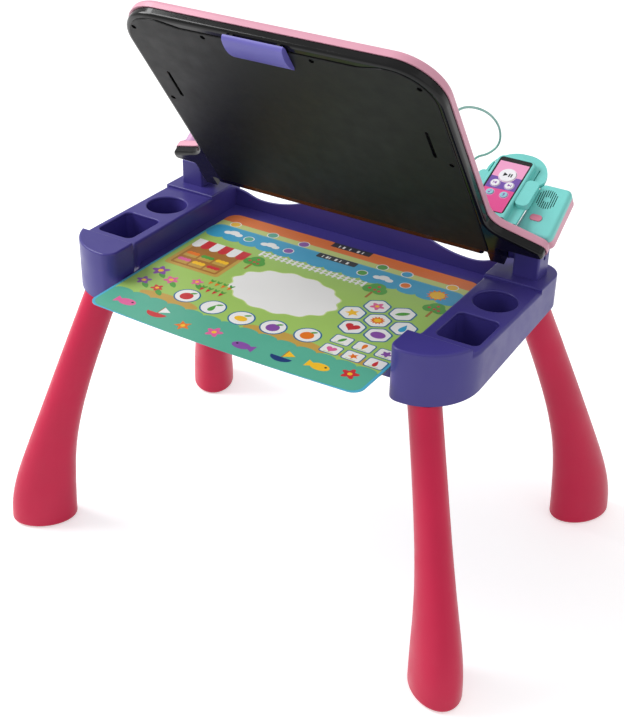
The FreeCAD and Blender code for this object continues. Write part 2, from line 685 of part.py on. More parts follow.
feature("page_back", page_shape(d.page_front_rear + d.page_back_shift, floor_top))
feature("page_front", page_shape(d.page_front_rear, floor_top + d.page_thick))


# Lid shells

lid_screw_shares = [(0.894, 0.93, 1), (0.343, 0.953, -0.4), (0.927, 0.566, 1)]


def lid_screw_places():
    return [(side * a * d.panel_half + c * d.panel_shift, b * d.panel_front)
            for a, b, c in lid_screw_shares for side in (1, -1)]


# A wing's root rounding is limited to this share of the wing
root_share = 0.6


# Right half of a lid shell's outline, from the front to the rear. The left wing ends sooner, on the
# same slanting front edge.
def lid_half(panel, reach, tip, tip_front, tip_rear, tip_round):
    root_round = min(d.root_round, (tip - panel) * root_share)
    return [
        (panel + reach, d.panel_front + reach, d.panel_round),
        (panel + reach, d.wing_root + reach, root_round),
        (tip + reach, tip_front + reach, tip_round), (tip + reach, tip_rear, tip_round)]


def both_wings(reach, tip_rear, left_tip_rear, tip_round, rear_corners):
    right = lid_half(d.panel_half + d.panel_shift, reach, wing_tip, d.wing_front, tip_rear, tip_round)
    right += rear_corners(tip_rear)
    left = lid_half(d.panel_half - d.panel_shift, reach, left_wing_tip, d.left_wing_front, left_tip_rear,
                    tip_round)
    left += rear_corners(left_tip_rear)
    return right + [(-u, v, r) for u, v, r in reversed(left)]


def black_outline():
    return both_wings(0, d.wing_rear, d.left_wing_rear, d.wing_round, lambda tip_rear: [
        (lug_outer, tip_rear, d.small_round), (lug_outer, d.lug_rear, d.small_round),
        (notch_in, d.lug_rear, d.small_round), (notch_in, d.panel_rear, d.small_round)])


def pink_outline():
    return both_wings(d.pink_reach, d.pink_wing_rear, d.pink_wing_rear, d.pink_wing_round, lambda tip_rear: [
        (notch_in, tip_rear, d.small_round), (notch_in, d.panel_rear, d.small_round)])


# Outline about the panel's own middle, which lies to the right of the posts' middle
def on_panel(half):
    return [(u + d.panel_shift, v, r) for u, v, r in both_sides(half)]


# Raised writing face, lower along the middle of its front edge
def pad_outline():
    return on_panel([
        (d.wave_in, d.pad_front - d.wave_drop, d.wave_round), (d.wave_out, d.pad_front, d.wave_round),
        (d.pad_half, d.pad_front, d.pad_round), (d.pad_half, d.pad_rear, d.face_round)])


def bed_outline():
    return on_panel([(bed_half, d.bed_front, d.bed_round), (bed_half, d.bed_rear, d.bed_round)])


def lug(side):
    start, end = (lug_inner, lug_outer) if side == 1 else (-lug_outer, -lug_inner)
    barrel = Part.makeCylinder(d.lug_radius, end - start, V(start, 0, 0), ACROSS)
    low = d.small_round - d.face_drop
    tongue = box(start, end, -d.lug_reach, 0, low, d.black_deep - d.face_drop)
    web = box(start, end, d.fit * 2 - d.pink_wing_rear, 0, low, 0)
    return barrel.fuse([tongue, web])


def clip_ears():
    ears = []
    for start in (d.clip_ear_in, -d.clip_ear_in - d.clip_ear_thick):
        end = start + d.clip_ear_thick
        axle = lid_point(start, clip_v, -d.clip_drop)
        ears.append(Part.makeCylinder(d.clip_barrel, d.clip_ear_thick, axle, ACROSS))
        ears.append(lid_box(start, end, clip_v - d.clip_barrel, clip_v + d.clip_barrel,
                            -d.clip_drop, d.pad_rise))
    return ears


def chalkboard_shape():
    outline = black_outline()
    blank = rounded_level(lid_prism(outline, 0, d.black_deep), -d.face_drop, d.face_round)
    shell = blank.cut(lid_inset(outline, d.lid_wall, d.face_wall, d.black_deep + d.overrun))
    bosses = [lid_rod(u, v, d.face_wall / 2, d.face_boss_top, d.boss_radius)
              for u, v in lid_screw_places()]
    pad = rounded_level(lid_prism(pad_outline(), -d.pad_rise, d.face_wall / 2), -d.pad_rise - d.face_drop,
                        d.pad_edge)
    shell = shell.fuse(bosses + [pad, lug(1), lug(-1)])
    cuts = []
    for u, v in lid_screw_places():
        cuts.append(lid_rod(u, v, -d.overrun, d.face_boss_top, d.screw_shank))
        cuts.append(lid_rod(u, v, -d.overrun, d.screw_bore_deep, d.screw_head + d.fit))
    for u in (d.panel_shift + d.slot_u, d.panel_shift - d.slot_u):
        ends = rectangle(u - d.slot_wide / 2, u + d.slot_wide / 2, d.slot_rear, d.slot_front,
                         d.slot_wide / 2 - d.fit)
        cuts.append(lid_prism(ends, -d.overrun, d.slot_deep))
    shell = shell.cut(cuts).fuse(clip_ears())
    pin_bore = Part.makeCylinder(d.pin_radius, 2 * lug_outer, V(-lug_outer, 0, 0), ACROSS)
    bores = [pin_bore.common(lug(side)) for side in (1, -1)]
    reach = d.clip_ear_in + d.clip_ear_thick
    axle = lid_point(-reach, clip_v, -d.clip_drop)
    bores.append(Part.makeCylinder(d.clip_pin_radius, 2 * reach, axle, ACROSS))
    return shell.cut(bores).removeSplitter()


def hanging_bosses(places, top, low):
    return [lid_rod(u, v, low, top, d.boss_radius) for u, v in places]


def corner_places(u0, u1, v0, v1):
    gap = d.boss_radius
    return [(u, v) for u in (u0 + gap, u1 - gap) for v in (v0 + gap, v1 - gap)]


board_top = pan_low - d.board_drop


def light_board_places():
    half = d.light_board_half
    return corner_places(-half, half, d.window_v - half, d.window_v + half)


def main_board_places():
    return corner_places(d.main_board_left, d.main_board_right, d.main_board_rear, d.main_board_front)


def reader_places():
    middle = (d.reader_rear + d.reader_front) / 2
    return [(side * (d.reader_half - d.boss_radius), middle) for side in (1, -1)]


def window_corners(half):
    return rectangle(-half, half, d.window_v - half, d.window_v + half, d.window_round)


box_half_u = d.cell_long / 2 + d.contact_long + d.box_wall
box_half_v = d.cell_pitch + d.cell_radius + d.fit + d.box_wall


def battery_rectangle(inset, radius):
    return rectangle(d.box_u - box_half_u + inset, d.box_u + box_half_u - inset,
                     d.box_v - box_half_v + inset, d.box_v + box_half_v - inset, radius)


def top_shell_shape():
    outline = pink_outline()
    top = d.lid_deep - d.face_drop
    blank = rounded_level(lid_prism(outline, d.black_deep, d.lid_deep), top, d.pink_round)
    shell = blank.cut(lid_inset(outline, d.lid_wall, d.black_deep - d.overrun, plate_low))
    pan = lid_inset(bed_outline(), -d.pan_thick, pan_low, plate_low)
    added = [pan.common(lid_prism(outline, pan_low, plate_low))]
    added += hanging_bosses(lid_screw_places(), plate_low, d.face_boss_top)
    added += hanging_bosses(light_board_places() + reader_places(), pan_low, board_top)
    added += hanging_bosses(main_board_places(), plate_low, board_top)
    shell = shell.fuse(added)
    above = d.lid_deep + d.overrun
    cuts = [lid_prism(bed_outline(), bed_low, above),
            lid_prism(window_corners(d.window_half - d.window_seat), pan_low - d.overrun, above),
            lid_prism(battery_rectangle(d.box_overlap, d.door_round), plate_low - d.overrun, above),
            lid_rod(stylus_u, d.stylus_v, plate_low - d.overrun, above, d.holder_neck + d.fit),
            lid_rod(power_u, d.power_v, plate_low - d.overrun, above, d.power_radius + d.button_gap)]
    for u, v in lid_screw_places():
        cuts.append(lid_rod(u, v, d.face_boss_top - d.overrun, pan_low, d.screw_shank))
    return shell.cut(cuts).removeSplitter()


feature("chalkboard_shell", chalkboard_shape(), lid_place)
feature("top_shell", top_shell_shape(), lid_place)
screw_group("lid_screws", [lid_point(u, v, d.screw_bore_deep) for u, v in lid_screw_places()], UP,
            pan_low - d.screw_bore_deep, lid_place)


# Page bed and the boards under it

def bed_shape():
    bed = lid_inset(bed_outline(), d.fit, bed_low, bed_top)
    return bed.cut(lid_prism(window_corners(d.window_half), bed_low, bed_top))


def light_board_shape():
    half = d.light_board_half
    low = board_top - d.board_thick
    board = lid_box(-half, half, d.window_v - half, d.window_v + half, low, board_top)
    steps = (-2, -1, 0, 1, 2)
    lamps = [lid_rod(i * d.lamp_pitch, d.window_v + k * d.lamp_pitch, board_top, board_top + d.lamp_tall,
                     d.lamp_radius) for i in steps for k in steps]
    return board.fuse(lamps)


def film_shape():
    film = lid_prism(rectangle(-d.film_half, d.film_half, d.film_rear, d.film_front, d.film_round),
                     pan_low - d.film_thick, pan_low)
    gap = d.light_board_half + d.film_gap
    return film.cut(lid_box(-gap, gap, d.window_v - gap, d.window_v + gap, pan_low - d.film_thick, pan_low))


def main_board_shape():
    low = board_top - d.board_thick
    board = lid_box(d.main_board_left, d.main_board_right, d.main_board_rear, d.main_board_front,
                    low, board_top)
    middle = (d.main_board_rear + d.main_board_front) / 2
    chips = []
    for k in (-1, 0, 1):
        u = (d.main_board_left + d.main_board_right) / 2 + k * 2 * d.chip_wide
        chips.append(lid_box(u - d.chip_wide / 2, u + d.chip_wide / 2, middle - d.chip_wide / 2,
                             middle + d.chip_wide / 2, low - d.chip_tall, low))
    return board.fuse(chips)


def reader_shape():
    middle = (d.reader_rear + d.reader_front) / 2
    board = lid_box(-d.reader_half, d.reader_half, d.reader_rear, d.reader_front,
                    board_top - d.board_thick, board_top)
    eyes = [lid_rod(k * d.sensor_pitch, middle, board_top, board_top + d.sensor_tall, d.sensor_radius)
            for k in (-2, -1, 0, 1, 2)]
    return board.fuse(eyes)


feature("page_bed", bed_shape(), lid_place)
feature("light_window", lid_prism(window_corners(d.window_half - d.fit), bed_low, bed_top), lid_place)
feature("light_board", light_board_shape(), lid_place)
feature("touch_film", film_shape(), lid_place)
feature("main_board", main_board_shape(), lid_place)
feature("tab_reader", reader_shape(), lid_place)


# Battery box

def battery_box_shape():
    outer = lid_prism(battery_rectangle(0, d.door_round), d.box_low, plate_low)
    inner = lid_prism(battery_rectangle(d.box_wall, d.door_round - d.box_wall),
                      d.box_low + d.box_floor, plate_low + d.overrun)
    return outer.cut(inner)


cell_w = d.box_low + d.box_floor + d.cell_radius
cell_places = [d.box_v + k * d.cell_pitch for k in (-1, 0, 1)]
feature("battery_box", battery_box_shape(), lid_place)
cell_start = d.box_u - d.cell_long / 2
cells = [Part.makeCylinder(d.cell_radius, d.cell_long, lid_point(cell_start, v, cell_w), ACROSS)
         for v in cell_places]
feature("batteries", Part.makeCompound(cells), lid_place)
contacts = []
for v in cell_places:
    for u in (cell_start - d.contact_long, cell_start + d.cell_long):
        seat = lid_point(u, v, cell_w)
        contacts.append(Part.makeCylinder(d.contact_radius, d.contact_long, seat, ACROSS))
feature("battery_contacts", Part.makeCompound(contacts), lid_place)
door_inset = d.box_overlap + d.fit
door = lid_prism(battery_rectangle(door_inset, d.door_round - d.fit), plate_low, d.lid_deep)
feature("battery_door", door, lid_place)


# Paper clip on the chalkboard side

# Rod about the clip's axle, the same length to both sides of the middle
def clip_rod(radius, half):
    return Part.makeCylinder(radius, 2 * half, lid_point(-half, clip_v, -d.clip_drop), ACROSS)


clip_inner = d.clip_barrel + d.clip_side_gap
clip_outer = clip_inner + d.clip_thick
toe_low = -d.pad_rise - d.clip_toe_gap


# Side view of one face of the bent plate: round the axle, then on to the toe
def clip_line(u, radius, crown, toe, toe_rise):
    slant = radius * math.sqrt(0.5)
    front = lid_point(u, clip_v + radius, -d.clip_drop)
    top = lid_point(u, clip_v, -d.clip_drop - radius)
    bend = Part.Arc(front, lid_point(u, clip_v + slant, -d.clip_drop - slant), top)
    leaf = Part.Arc(top, lid_point(u, clip_v - d.clip_crest, -crown), lid_point(u, toe, toe_rise))
    return [bend.toShape(), leaf.toShape()]


def clip_plate(u):
    outer = clip_line(u, clip_outer, d.clip_crown, clip_toe, toe_low - d.clip_thick / 2)
    inner = clip_line(u, clip_inner, d.clip_crown - d.clip_thick, clip_toe + d.clip_thick, toe_low)
    ends = [Part.makeLine(lid_point(u, clip_v + clip_inner, -d.clip_drop),
                          lid_point(u, clip_v + clip_outer, -d.clip_drop)),
            Part.makeLine(lid_point(u, clip_toe + d.clip_thick, toe_low),
                          lid_point(u, clip_toe, toe_low - d.clip_thick / 2))]
    return Part.Face(Part.Wire(Part.__sortEdges__(outer + inner + ends)))


# Closed end of the hood
def clip_cheek(u):
    outer = clip_line(u, clip_outer, d.clip_crown, clip_toe, toe_low - d.clip_thick / 2)
    corners = [lid_point(u, clip_toe, toe_low - d.clip_thick / 2),
               lid_point(u, clip_toe + d.clip_thick, toe_low), lid_point(u, clip_v, toe_low),
               lid_point(u, clip_v + clip_outer, -d.clip_drop)]
    ends = [Part.makeLine(a, b) for a, b in zip(corners, corners[1:])]
    return Part.Face(Part.Wire(Part.__sortEdges__(outer + ends))).extrude(ACROSS * d.clip_thick)


def clip_shape():
    half = d.clip_ear_in - d.clip_side_gap
    hood = clip_plate(-d.clip_half).extrude(ACROSS * 2 * d.clip_half)
    cheeks = [clip_cheek(-d.clip_half), clip_cheek(d.clip_half - d.clip_thick)]
    barrel = clip_rod(d.clip_barrel, half)
    web = lid_box(-half, half, clip_v - d.clip_barrel, clip_v, -d.clip_drop - clip_inner - d.clip_thick / 2,
                  -d.clip_drop)
    clip = hood.fuse(cheeks + [barrel, web])
    gap = d.spring_half + d.clip_side_gap
    around = clip_rod(d.clip_barrel + d.clip_side_gap, gap)
    bore = clip_rod(d.clip_pin_radius + d.pin_fit, half)
    return clip.cut([around, bore]).removeSplitter()


feature("page_clip", clip_shape(), lid_place)
feature("clip_pin", clip_rod(d.clip_pin_radius, d.clip_ear_in + d.clip_ear_thick), lid_place)
spring = clip_rod(d.spring_radius, d.spring_half).cut(clip_rod(d.clip_pin_radius, d.spring_half))
feature("clip_spring", spring, lid_place)


# Upright pieces: shapes written with their face at y = 0, looking forward, z up from their foot

def upright(corners, front, rear):
    face = Part.Face(rounded_wire(corners, 0))
    face.rotate(V(), ACROSS, 90)
    face.translate(BACK * front)
    return face.extrude(BACK * (rear - front))


def front_edges(shape, depth):
    return [e for e in shape.Edges if abs(e.BoundBox.YMin - depth) < d.pin_fit
            and abs(e.BoundBox.YMax - depth) < d.pin_fit]


def facing_rod(x, z, front, rear, radius):
    return Part.makeCylinder(radius, rear - front, V(x, front, z), BACK)


# Toy phone

phone_place = lid_place.multiply(FreeCAD.Placement(lid_point(phone_u, d.phone_v, d.lid_deep),
                                                   FreeCAD.Rotation(ACROSS, -d.phone_lean)))
phone_buttons = [("play_button", 0, d.play_rise, d.play_radius),
                 ("back_button", -d.skip_spread, d.skip_rise, d.skip_radius),
                 ("next_button", d.skip_spread, d.skip_rise, d.skip_radius),
                 ("music_button", -d.mode_spread, d.mode_rise, d.mode_radius),
                 ("voice_button", d.mode_spread, d.mode_rise, d.mode_radius)]
panel_back = d.panel_inset + d.panel_thick
wall_back = panel_back + d.phone_wall


# What lies under the lid's top where the phone leans out of it
def below_phone():
    reach = d.phone_tall
    ground = box(-reach, reach, -reach, reach, -reach, 0)
    ground.rotate(V(), ACROSS, d.phone_lean)
    return ground


def phone_front_shape():
    half = d.phone_wide / 2
    corners = rectangle(-half, half, -d.phone_sink, d.phone_tall, d.phone_round)
    block = upright(corners, 0, d.phone_front_deep)
    block = block.makeFillet(d.shell_edge_round, front_edges(block, 0))
    inner = rectangle(-half + d.phone_wall, half - d.phone_wall, d.phone_wall, d.phone_tall - d.phone_wall,
                      d.phone_round - d.phone_wall)
    cuts = [upright(panel_corners(0), -d.overrun, panel_back),
            upright(inner, wall_back, d.phone_front_deep + d.overrun), below_phone()]
    for label, x, z, radius in phone_buttons:
        cuts.append(facing_rod(x, d.panel_low + z, 0, wall_back + d.fit, radius + d.button_gap))
    return block.cut(cuts)


def panel_corners(inset):
    half = d.panel_wide / 2 - inset
    return rectangle(-half, half, d.panel_low + inset, d.panel_low + d.panel_tall - inset, d.panel_corner)


def phone_face_shape():
    panel = upright(panel_corners(d.fit), d.panel_inset, panel_back)
    return panel.cut([facing_rod(x, d.panel_low + z, 0, wall_back, radius + d.button_gap)
                      for label, x, z, radius in phone_buttons])


board_face = d.phone_front_deep - d.board_thick


def phone_back_shape():
    low, high = d.phone_front_deep, d.phone_front_deep + d.phone_back_deep
    crown_start = d.crown_low + d.crown_step
    bend = d.phone_back_tall - crown_start - d.ear_inset
    foot = -d.phone_sink - d.phone_back_deep
    arch = [(-d.phone_back_left, foot, 0), (d.phone_back_right, foot, 0),
            (d.phone_back_right, d.crown_low, d.ear_inset), (d.crown_right, crown_start, d.ear_inset),
            (d.crown_right, d.phone_back_tall, bend), (-d.phone_back_left, d.phone_back_tall, bend)]
    block = upright(arch, low, high)
    rear = [e for e in front_edges(block, high) if e.BoundBox.ZMax > 0]
    block = block.makeFillet(d.phone_round - d.phone_wall, rear)
    # clasps that hold the phone at both sides
    ear_start = d.phone_wide / 2 + d.fit
    ear_top = d.ear_low + d.ear_tall
    ears = []
    for start, wide in ((ear_start, d.ear_wide), (-ear_start - d.ear_left_wide, d.ear_left_wide)):
        clasp = rectangle(start, start + wide, d.ear_low, ear_top, min(d.ear_round, wide / 2 - d.fit))
        ears.append(upright(clasp, d.ear_inset, low + d.phone_wall))
    groove_low = ear_top + d.groove_gap
    groove = box(ear_start + d.groove_gap, ear_start + d.groove_gap + d.groove_wide, low, low + d.groove_deep,
                 groove_low, groove_low + d.groove_tall)
    wall = d.phone_wall
    inner_half = d.phone_wide / 2 - d.phone_wall
    hollow = upright(rectangle(-inner_half, inner_half, wall, d.phone_tall - wall, d.phone_round - wall),
                     low - d.overrun, high - wall)
    posts = [facing_rod(x, z, low, high - wall, d.boss_radius)
             for x in (-inner_half + d.boss_radius * 2, inner_half - d.boss_radius * 2)
             for z in (d.phone_round * 2, d.phone_tall - d.phone_round * 2)]
    block = block.fuse(ears).cut([hollow, groove, mirrored(groove)]).fuse(posts)
    return block.cut(below_phone()).removeSplitter()


def phone_board_shape():
    gap = d.phone_wall + d.fit
    half = d.phone_wide / 2 - gap
    return upright(rectangle(-half, half, d.phone_round, d.phone_tall - gap, d.phone_round - gap),
                   board_face, d.phone_front_deep)


# Push button: a cap that stands proud of its panel, with a flange behind the wall
def phone_button_shape(x, z, radius):
    cap = facing_rod(x, z, d.panel_inset - d.button_proud, wall_back + d.flange_thick, radius)
    cap = cap.makeFillet(d.button_edge, front_edges(cap, d.panel_inset - d.button_proud))
    behind = wall_back + d.button_gap
    flange = facing_rod(x, z, behind, behind + d.flange_thick, radius + d.button_flange)
    return cap.fuse(flange).removeSplitter()


feature("phone_front", phone_front_shape(), phone_place)
feature("phone_face", phone_face_shape(), phone_place)
feature("phone_back", phone_back_shape(), phone_place)
feature("phone_board", phone_board_shape(), phone_place)
for label, x, z, radius in phone_buttons:
    feature(label, phone_button_shape(x, d.panel_low + z, radius), phone_place)


# Speaker box

speaker_place = lid_at(d.speaker_u, d.speaker_v, d.lid_deep)


# The side next to the phone slants in towards the top
def speaker_corners(inset):
    half = d.speaker_wide / 2 - inset
    corners = rectangle(-half, half, inset, d.speaker_tall - inset, d.speaker_round - inset)
    corners[3] = (d.speaker_slant - half, d.speaker_tall - inset, d.speaker_round - inset)
    return corners


def oval_corners(grow):
    long, wide = d.oval_half_long + grow, d.oval_half_wide + grow
    return rectangle(-d.oval_shift - long, long - d.oval_shift, d.oval_rise - wide, d.oval_rise + wide,
                     wide - d.pin_fit)


# Upright slits in a round field, with a plain hub
def grille_slits():
    slits = []
    count = math.ceil(d.grille_radius / d.grille_pitch) - 1
    for i in range(-count, count + 1):
        x = i * d.grille_pitch
        outer = math.sqrt(d.grille_radius ** 2 - x ** 2)
        inner = math.sqrt(max(d.grille_hub ** 2 - x ** 2, 0))
        spans = [(-outer, -inner), (inner, outer)] if inner else [(-outer, outer)]
        start = x - d.grille_shift - d.grille_slit / 2
        for low, high in spans:
            slits.append(box(start, start + d.grille_slit, -d.overrun, d.speaker_wall + d.overrun,
                             d.grille_rise + low, d.grille_rise + high))
    return slits


def speaker_front_shape():
    block = upright(speaker_corners(0), 0, d.speaker_front_deep)
    block = block.makeFillet(d.speaker_bevel, front_edges(block, 0))
    hollow = upright(speaker_corners(d.speaker_wall), d.speaker_wall, d.speaker_front_deep + d.overrun)
    hollow = hollow.makeFillet(d.speaker_bevel - d.speaker_wall, front_edges(hollow, d.speaker_wall))
    slot = upright(oval_corners(d.button_gap), -d.overrun, d.speaker_wall + d.overrun)
    return block.cut([hollow, slot]).cut(Part.makeCompound(grille_slits()))


def speaker_back_shape():
    block = upright(speaker_corners(0), d.speaker_front_deep, d.speaker_deep)
    block = block.makeFillet(d.shell_edge_round * 2, front_edges(block, d.speaker_deep))
    return block.cut(upright(speaker_corners(d.speaker_wall), d.speaker_front_deep - d.overrun,
                             d.speaker_deep - d.speaker_wall))


def speaker_driver_shape():
    x = -d.grille_shift
    rim_rear = d.speaker_wall + d.driver_rim
    cone_rear = rim_rear + d.driver_cone
    rim = facing_rod(x, d.grille_rise, d.speaker_wall, rim_rear, d.driver_radius)
    cone = Part.makeCone(d.driver_radius - d.driver_rim, d.magnet_radius, d.driver_cone,
                         V(x, rim_rear, d.grille_rise), BACK)
    magnet = facing_rod(x, d.grille_rise, cone_rear, cone_rear + d.magnet_deep, d.magnet_radius)
    dish = Part.makeCone(d.driver_radius - d.driver_rim * 2, d.driver_rim, d.driver_cone,
                         V(x, d.speaker_wall, d.grille_rise), BACK)
    return rim.fuse([cone, magnet]).cut(dish).removeSplitter()


def speaker_button_shape():
    behind = d.speaker_wall + d.button_gap
    cap = upright(oval_corners(0), -d.button_proud, behind + d.flange_thick)
    cap = cap.makeFillet(d.button_edge, front_edges(cap, -d.button_proud))
    return cap.fuse(upright(oval_corners(d.button_flange), behind, behind + d.flange_thick)).removeSplitter()


feature("speaker_front", speaker_front_shape(), speaker_place)
feature("speaker_back", speaker_back_shape(), speaker_place)
feature("speaker_driver", speaker_driver_shape(), speaker_place)
feature("speaker_button", speaker_button_shape(), speaker_place)


# Power dome on the left wing, turned about its own axis, heights from the wing's top

power_place = lid_at(power_u, d.power_v, d.lid_deep)
ring_in, ring_out = "power_radius + button_gap", "power_radius + button_gap + power_ring"
turned("power_base", [(ring_in, "0"), (ring_out, "0"), (ring_out, "power_ring_tall / 2"),
                      (ring_out + " - power_ring_tall / 2", "power_ring_tall"), (ring_in, "power_ring_tall")],
       power_place)


def power_button_shape():
    flange_top = -d.lid_wall - d.button_gap
    stem = Part.makeCylinder(d.power_radius, d.power_rise - flange_top + d.power_flange_thick,
                             V(0, 0, flange_top - d.power_flange_thick))
    flange = Part.makeCylinder(d.power_radius + d.power_flange, d.power_flange_thick,
                               V(0, 0, flange_top - d.power_flange_thick))
    ball_radius = (d.power_radius ** 2 + d.power_dome ** 2) / (2 * d.power_dome)
    ball = Part.makeSphere(ball_radius, V(0, 0, d.power_rise + d.power_dome - ball_radius))
    cap = Part.makeCylinder(d.power_radius, d.power_dome, V(0, 0, d.power_rise)).common(ball)
    return stem.fuse([flange, cap]).removeSplitter()


feature("power_button", power_button_shape(), power_place)


# Stylus, turned about its own axis, heights from its nib

stylus_place = lid_at(stylus_u, d.stylus_v, d.stylus_low)
cap_start = "stylus_long - cap_long"
turned("stylus_tip", [("0", "0"), ("nib_radius", "0"), ("stylus_radius", "nib_long"), ("0", "nib_long")],
       stylus_place)
turned("stylus_barrel", [("0", "nib_long"), ("stylus_radius", "nib_long"), ("stylus_radius", cap_start),
                         ("0", cap_start)], stylus_place)
turned("stylus_cap", [("0", cap_start), ("stylus_radius", cap_start),
                      ("stylus_radius", "stylus_long - cap_edge"), ("cap_radius", "stylus_long"),
                      ("0", "stylus_long")], stylus_place)

# The holder is turned too, heights from its foot inside the lid
bore_radius = "stylus_radius + holder_gap"
lid_top = "lid_deep - holder_low"
turned("stylus_holder", [
    ("0", "0"), ("holder_neck", "0"), ("holder_neck", lid_top), ("holder_flange", lid_top),
    ("holder_flange", lid_top + " + holder_flange_thick"),
    ("holder_radius", lid_top + " + holder_flange_thick"),
    ("holder_radius", "holder_top - holder_low"), (bore_radius, "holder_top - holder_low"),
    (bore_radius, "holder_floor"), ("0", "holder_floor")], lid_at(stylus_u, d.stylus_v, d.holder_low))

turned("cord_anchor", [("0", "0"), ("anchor_radius", "0"), ("anchor_radius", "anchor_tall - anchor_edge"),
                       ("anchor_radius - anchor_edge", "anchor_tall"), ("0", "anchor_tall")],
       lid_at(anchor_u, d.anchor_v, d.lid_deep))


# Stylus cord: bends chosen by hand in the lid's frame, from the stylus to its anchor
stylus_top = d.stylus_low + d.stylus_long
anchor_top = d.lid_deep + d.anchor_tall
cord_bends = [
    (166, 44, 128), (175, 44, 147), (182, 84, 148), (190, 152, 122), (199, 224, 78)]
cord_points = [(stylus_u, d.stylus_v, stylus_top), (stylus_u, d.stylus_v, stylus_top + d.cord_lead)]
cord_points += cord_bends
cord_points += [(anchor_u, d.anchor_v, anchor_top + d.cord_lead), (anchor_u, d.anchor_v, anchor_top)]
bend_share = 0.45


def cord_path(points):
    edges = []
    last = points[0]
    radii = []
    for before, point, after in zip(points, points[1:], points[2:]):
        back = (before - point).normalize()
        ahead = (after - point).normalize()
        half = back.getAngle(ahead) / 2
        reach = bend_share * min((before - point).Length, (after - point).Length)
        radius = reach * math.tan(half)
        radii.append(radius)
        inward = (back + ahead).normalize()
        start, end = point + back * reach, point + ahead * reach
        middle = point + inward * (radius / math.sin(half) - radius)
        edges.append(Part.LineSegment(last, start).toShape())
        edges.append(Part.Arc(start, middle, end).toShape())
        last = end
    edges.append(Part.LineSegment(last, points[-1]).toShape())
    print("cord bend radii", [round(radius, 1) for radius in radii])
    return Part.Wire(edges)


def cord_shape():
    path = cord_path([lid_point(*point) for point in cord_points])
    start = path.Edges[0]
    ring = Part.Wire(Part.Circle(start.valueAt(start.FirstParameter), start.tangentAt(start.FirstParameter),
                                 d.cord_radius).toShape())
    tube = path.makePipeShell([ring], True, True)
    section = math.pi * d.cord_radius ** 2
    print("cord length", round(path.Length, 1), "volume share", round(tube.Volume / section / path.Length, 4))
    return tube


feature("stylus_cord", cord_shape(), lid_place)


# Check every object, then write each piece

doc.recompute()
faulty = [item.Name for item in doc.Objects if "Invalid" in item.State or "Error" in item.State]
for item in nodes:
    if item.Shape.isNull() or not item.Shape.isValid() or not item.Shape.Solids:
        faulty.append(item.Label)
if faulty:
    raise RuntimeError("faulty pieces: " + ", ".join(faulty))
os.makedirs("parts", exist_ok=True)
for item in nodes:
    item.Shape.exportStep("parts/%s.step" % item.Label)
print(len(nodes), "pieces")
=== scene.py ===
import bpy
import json
import math
from mathutils import Matrix, Vector


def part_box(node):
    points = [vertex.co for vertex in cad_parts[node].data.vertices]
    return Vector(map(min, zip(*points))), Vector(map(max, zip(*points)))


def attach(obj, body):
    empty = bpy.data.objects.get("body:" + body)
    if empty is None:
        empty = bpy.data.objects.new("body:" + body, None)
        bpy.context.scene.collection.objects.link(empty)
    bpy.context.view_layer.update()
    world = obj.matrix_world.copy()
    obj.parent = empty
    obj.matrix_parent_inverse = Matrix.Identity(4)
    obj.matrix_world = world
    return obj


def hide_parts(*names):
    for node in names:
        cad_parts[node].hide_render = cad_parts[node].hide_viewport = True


# Activity desk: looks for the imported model, in metres, with the desk's front towards -Y
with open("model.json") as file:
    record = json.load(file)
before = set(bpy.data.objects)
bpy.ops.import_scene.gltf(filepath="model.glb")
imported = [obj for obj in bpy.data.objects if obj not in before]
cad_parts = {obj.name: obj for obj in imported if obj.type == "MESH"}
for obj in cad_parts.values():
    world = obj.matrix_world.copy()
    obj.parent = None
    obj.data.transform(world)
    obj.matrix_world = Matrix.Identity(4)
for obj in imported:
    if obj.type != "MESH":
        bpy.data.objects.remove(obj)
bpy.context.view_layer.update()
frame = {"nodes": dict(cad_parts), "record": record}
cadNodes = frame["nodes"]
bpy.ops.object.select_all(action="DESELECT")
mm = 0.001
print("frame loaded:", len(cadNodes), "nodes")

# The lid stands open, and its pieces are placed by u across, v forward from the hinge, w up from the board
lidStand = {"hinge": (0, 0.097, 0.460), "open": math.radians(54.4), "faceDrop": 25.3}
lidMatrix = Matrix.Translation(lidStand["hinge"]) @ Matrix.Rotation(-lidStand["open"], 4, "X")
phoneStand = {"u": 213.5, "v": 79.5, "w": 24, "lean": math.radians(11.6)}
speakerStand = {"u": 272.5, "v": 54, "w": 24}


def lidPlace(u, v, w):
    return Vector((u * mm, -v * mm, (w - lidStand["faceDrop"]) * mm))


def lidPoint(u, v, w):
    return lidMatrix @ lidPlace(u, v, w)


def standMatrix(stand):
    return lidMatrix @ Matrix.Translation(lidPlace(stand["u"], stand["v"], stand["w"]))


phoneMatrix = standMatrix(phoneStand) @ Matrix.Rotation(-phoneStand["lean"], 4, "X")
speakerMatrix = standMatrix(speakerStand)

# Camera, from the photograph's fitted view
cameraView = {"place": (0.818186, -1.353003, 1.212873), "azimuth": 31.262, "elevation": 31.012,
              "roll": 1.240, "lens": 66.004, "sensor": 36}


def makeCamera(view):
    az, el, roll = (math.radians(view[key]) for key in ("azimuth", "elevation", "roll"))
    back = Vector((math.sin(az) * math.cos(el), -math.cos(az) * math.cos(el), math.sin(el)))
    level = Vector((math.cos(az), math.sin(az), 0))
    above = back.cross(level)
    right = math.cos(roll) * level + math.sin(roll) * above
    up = -math.sin(roll) * level + math.cos(roll) * above
    bpy.ops.object.camera_add(location=view["place"])
    camera = bpy.context.active_object
    camera.matrix_world = Matrix.Translation(view["place"]) @ Matrix((right, up, back)).transposed().to_4x4()
    camera.data.sensor_fit = "VERTICAL"
    camera.data.sensor_height = view["sensor"]
    camera.data.lens = view["lens"]
    camera.data.clip_end = 100
    bpy.context.scene.camera = camera


makeCamera(cameraView)
print("camera set")


# Materials

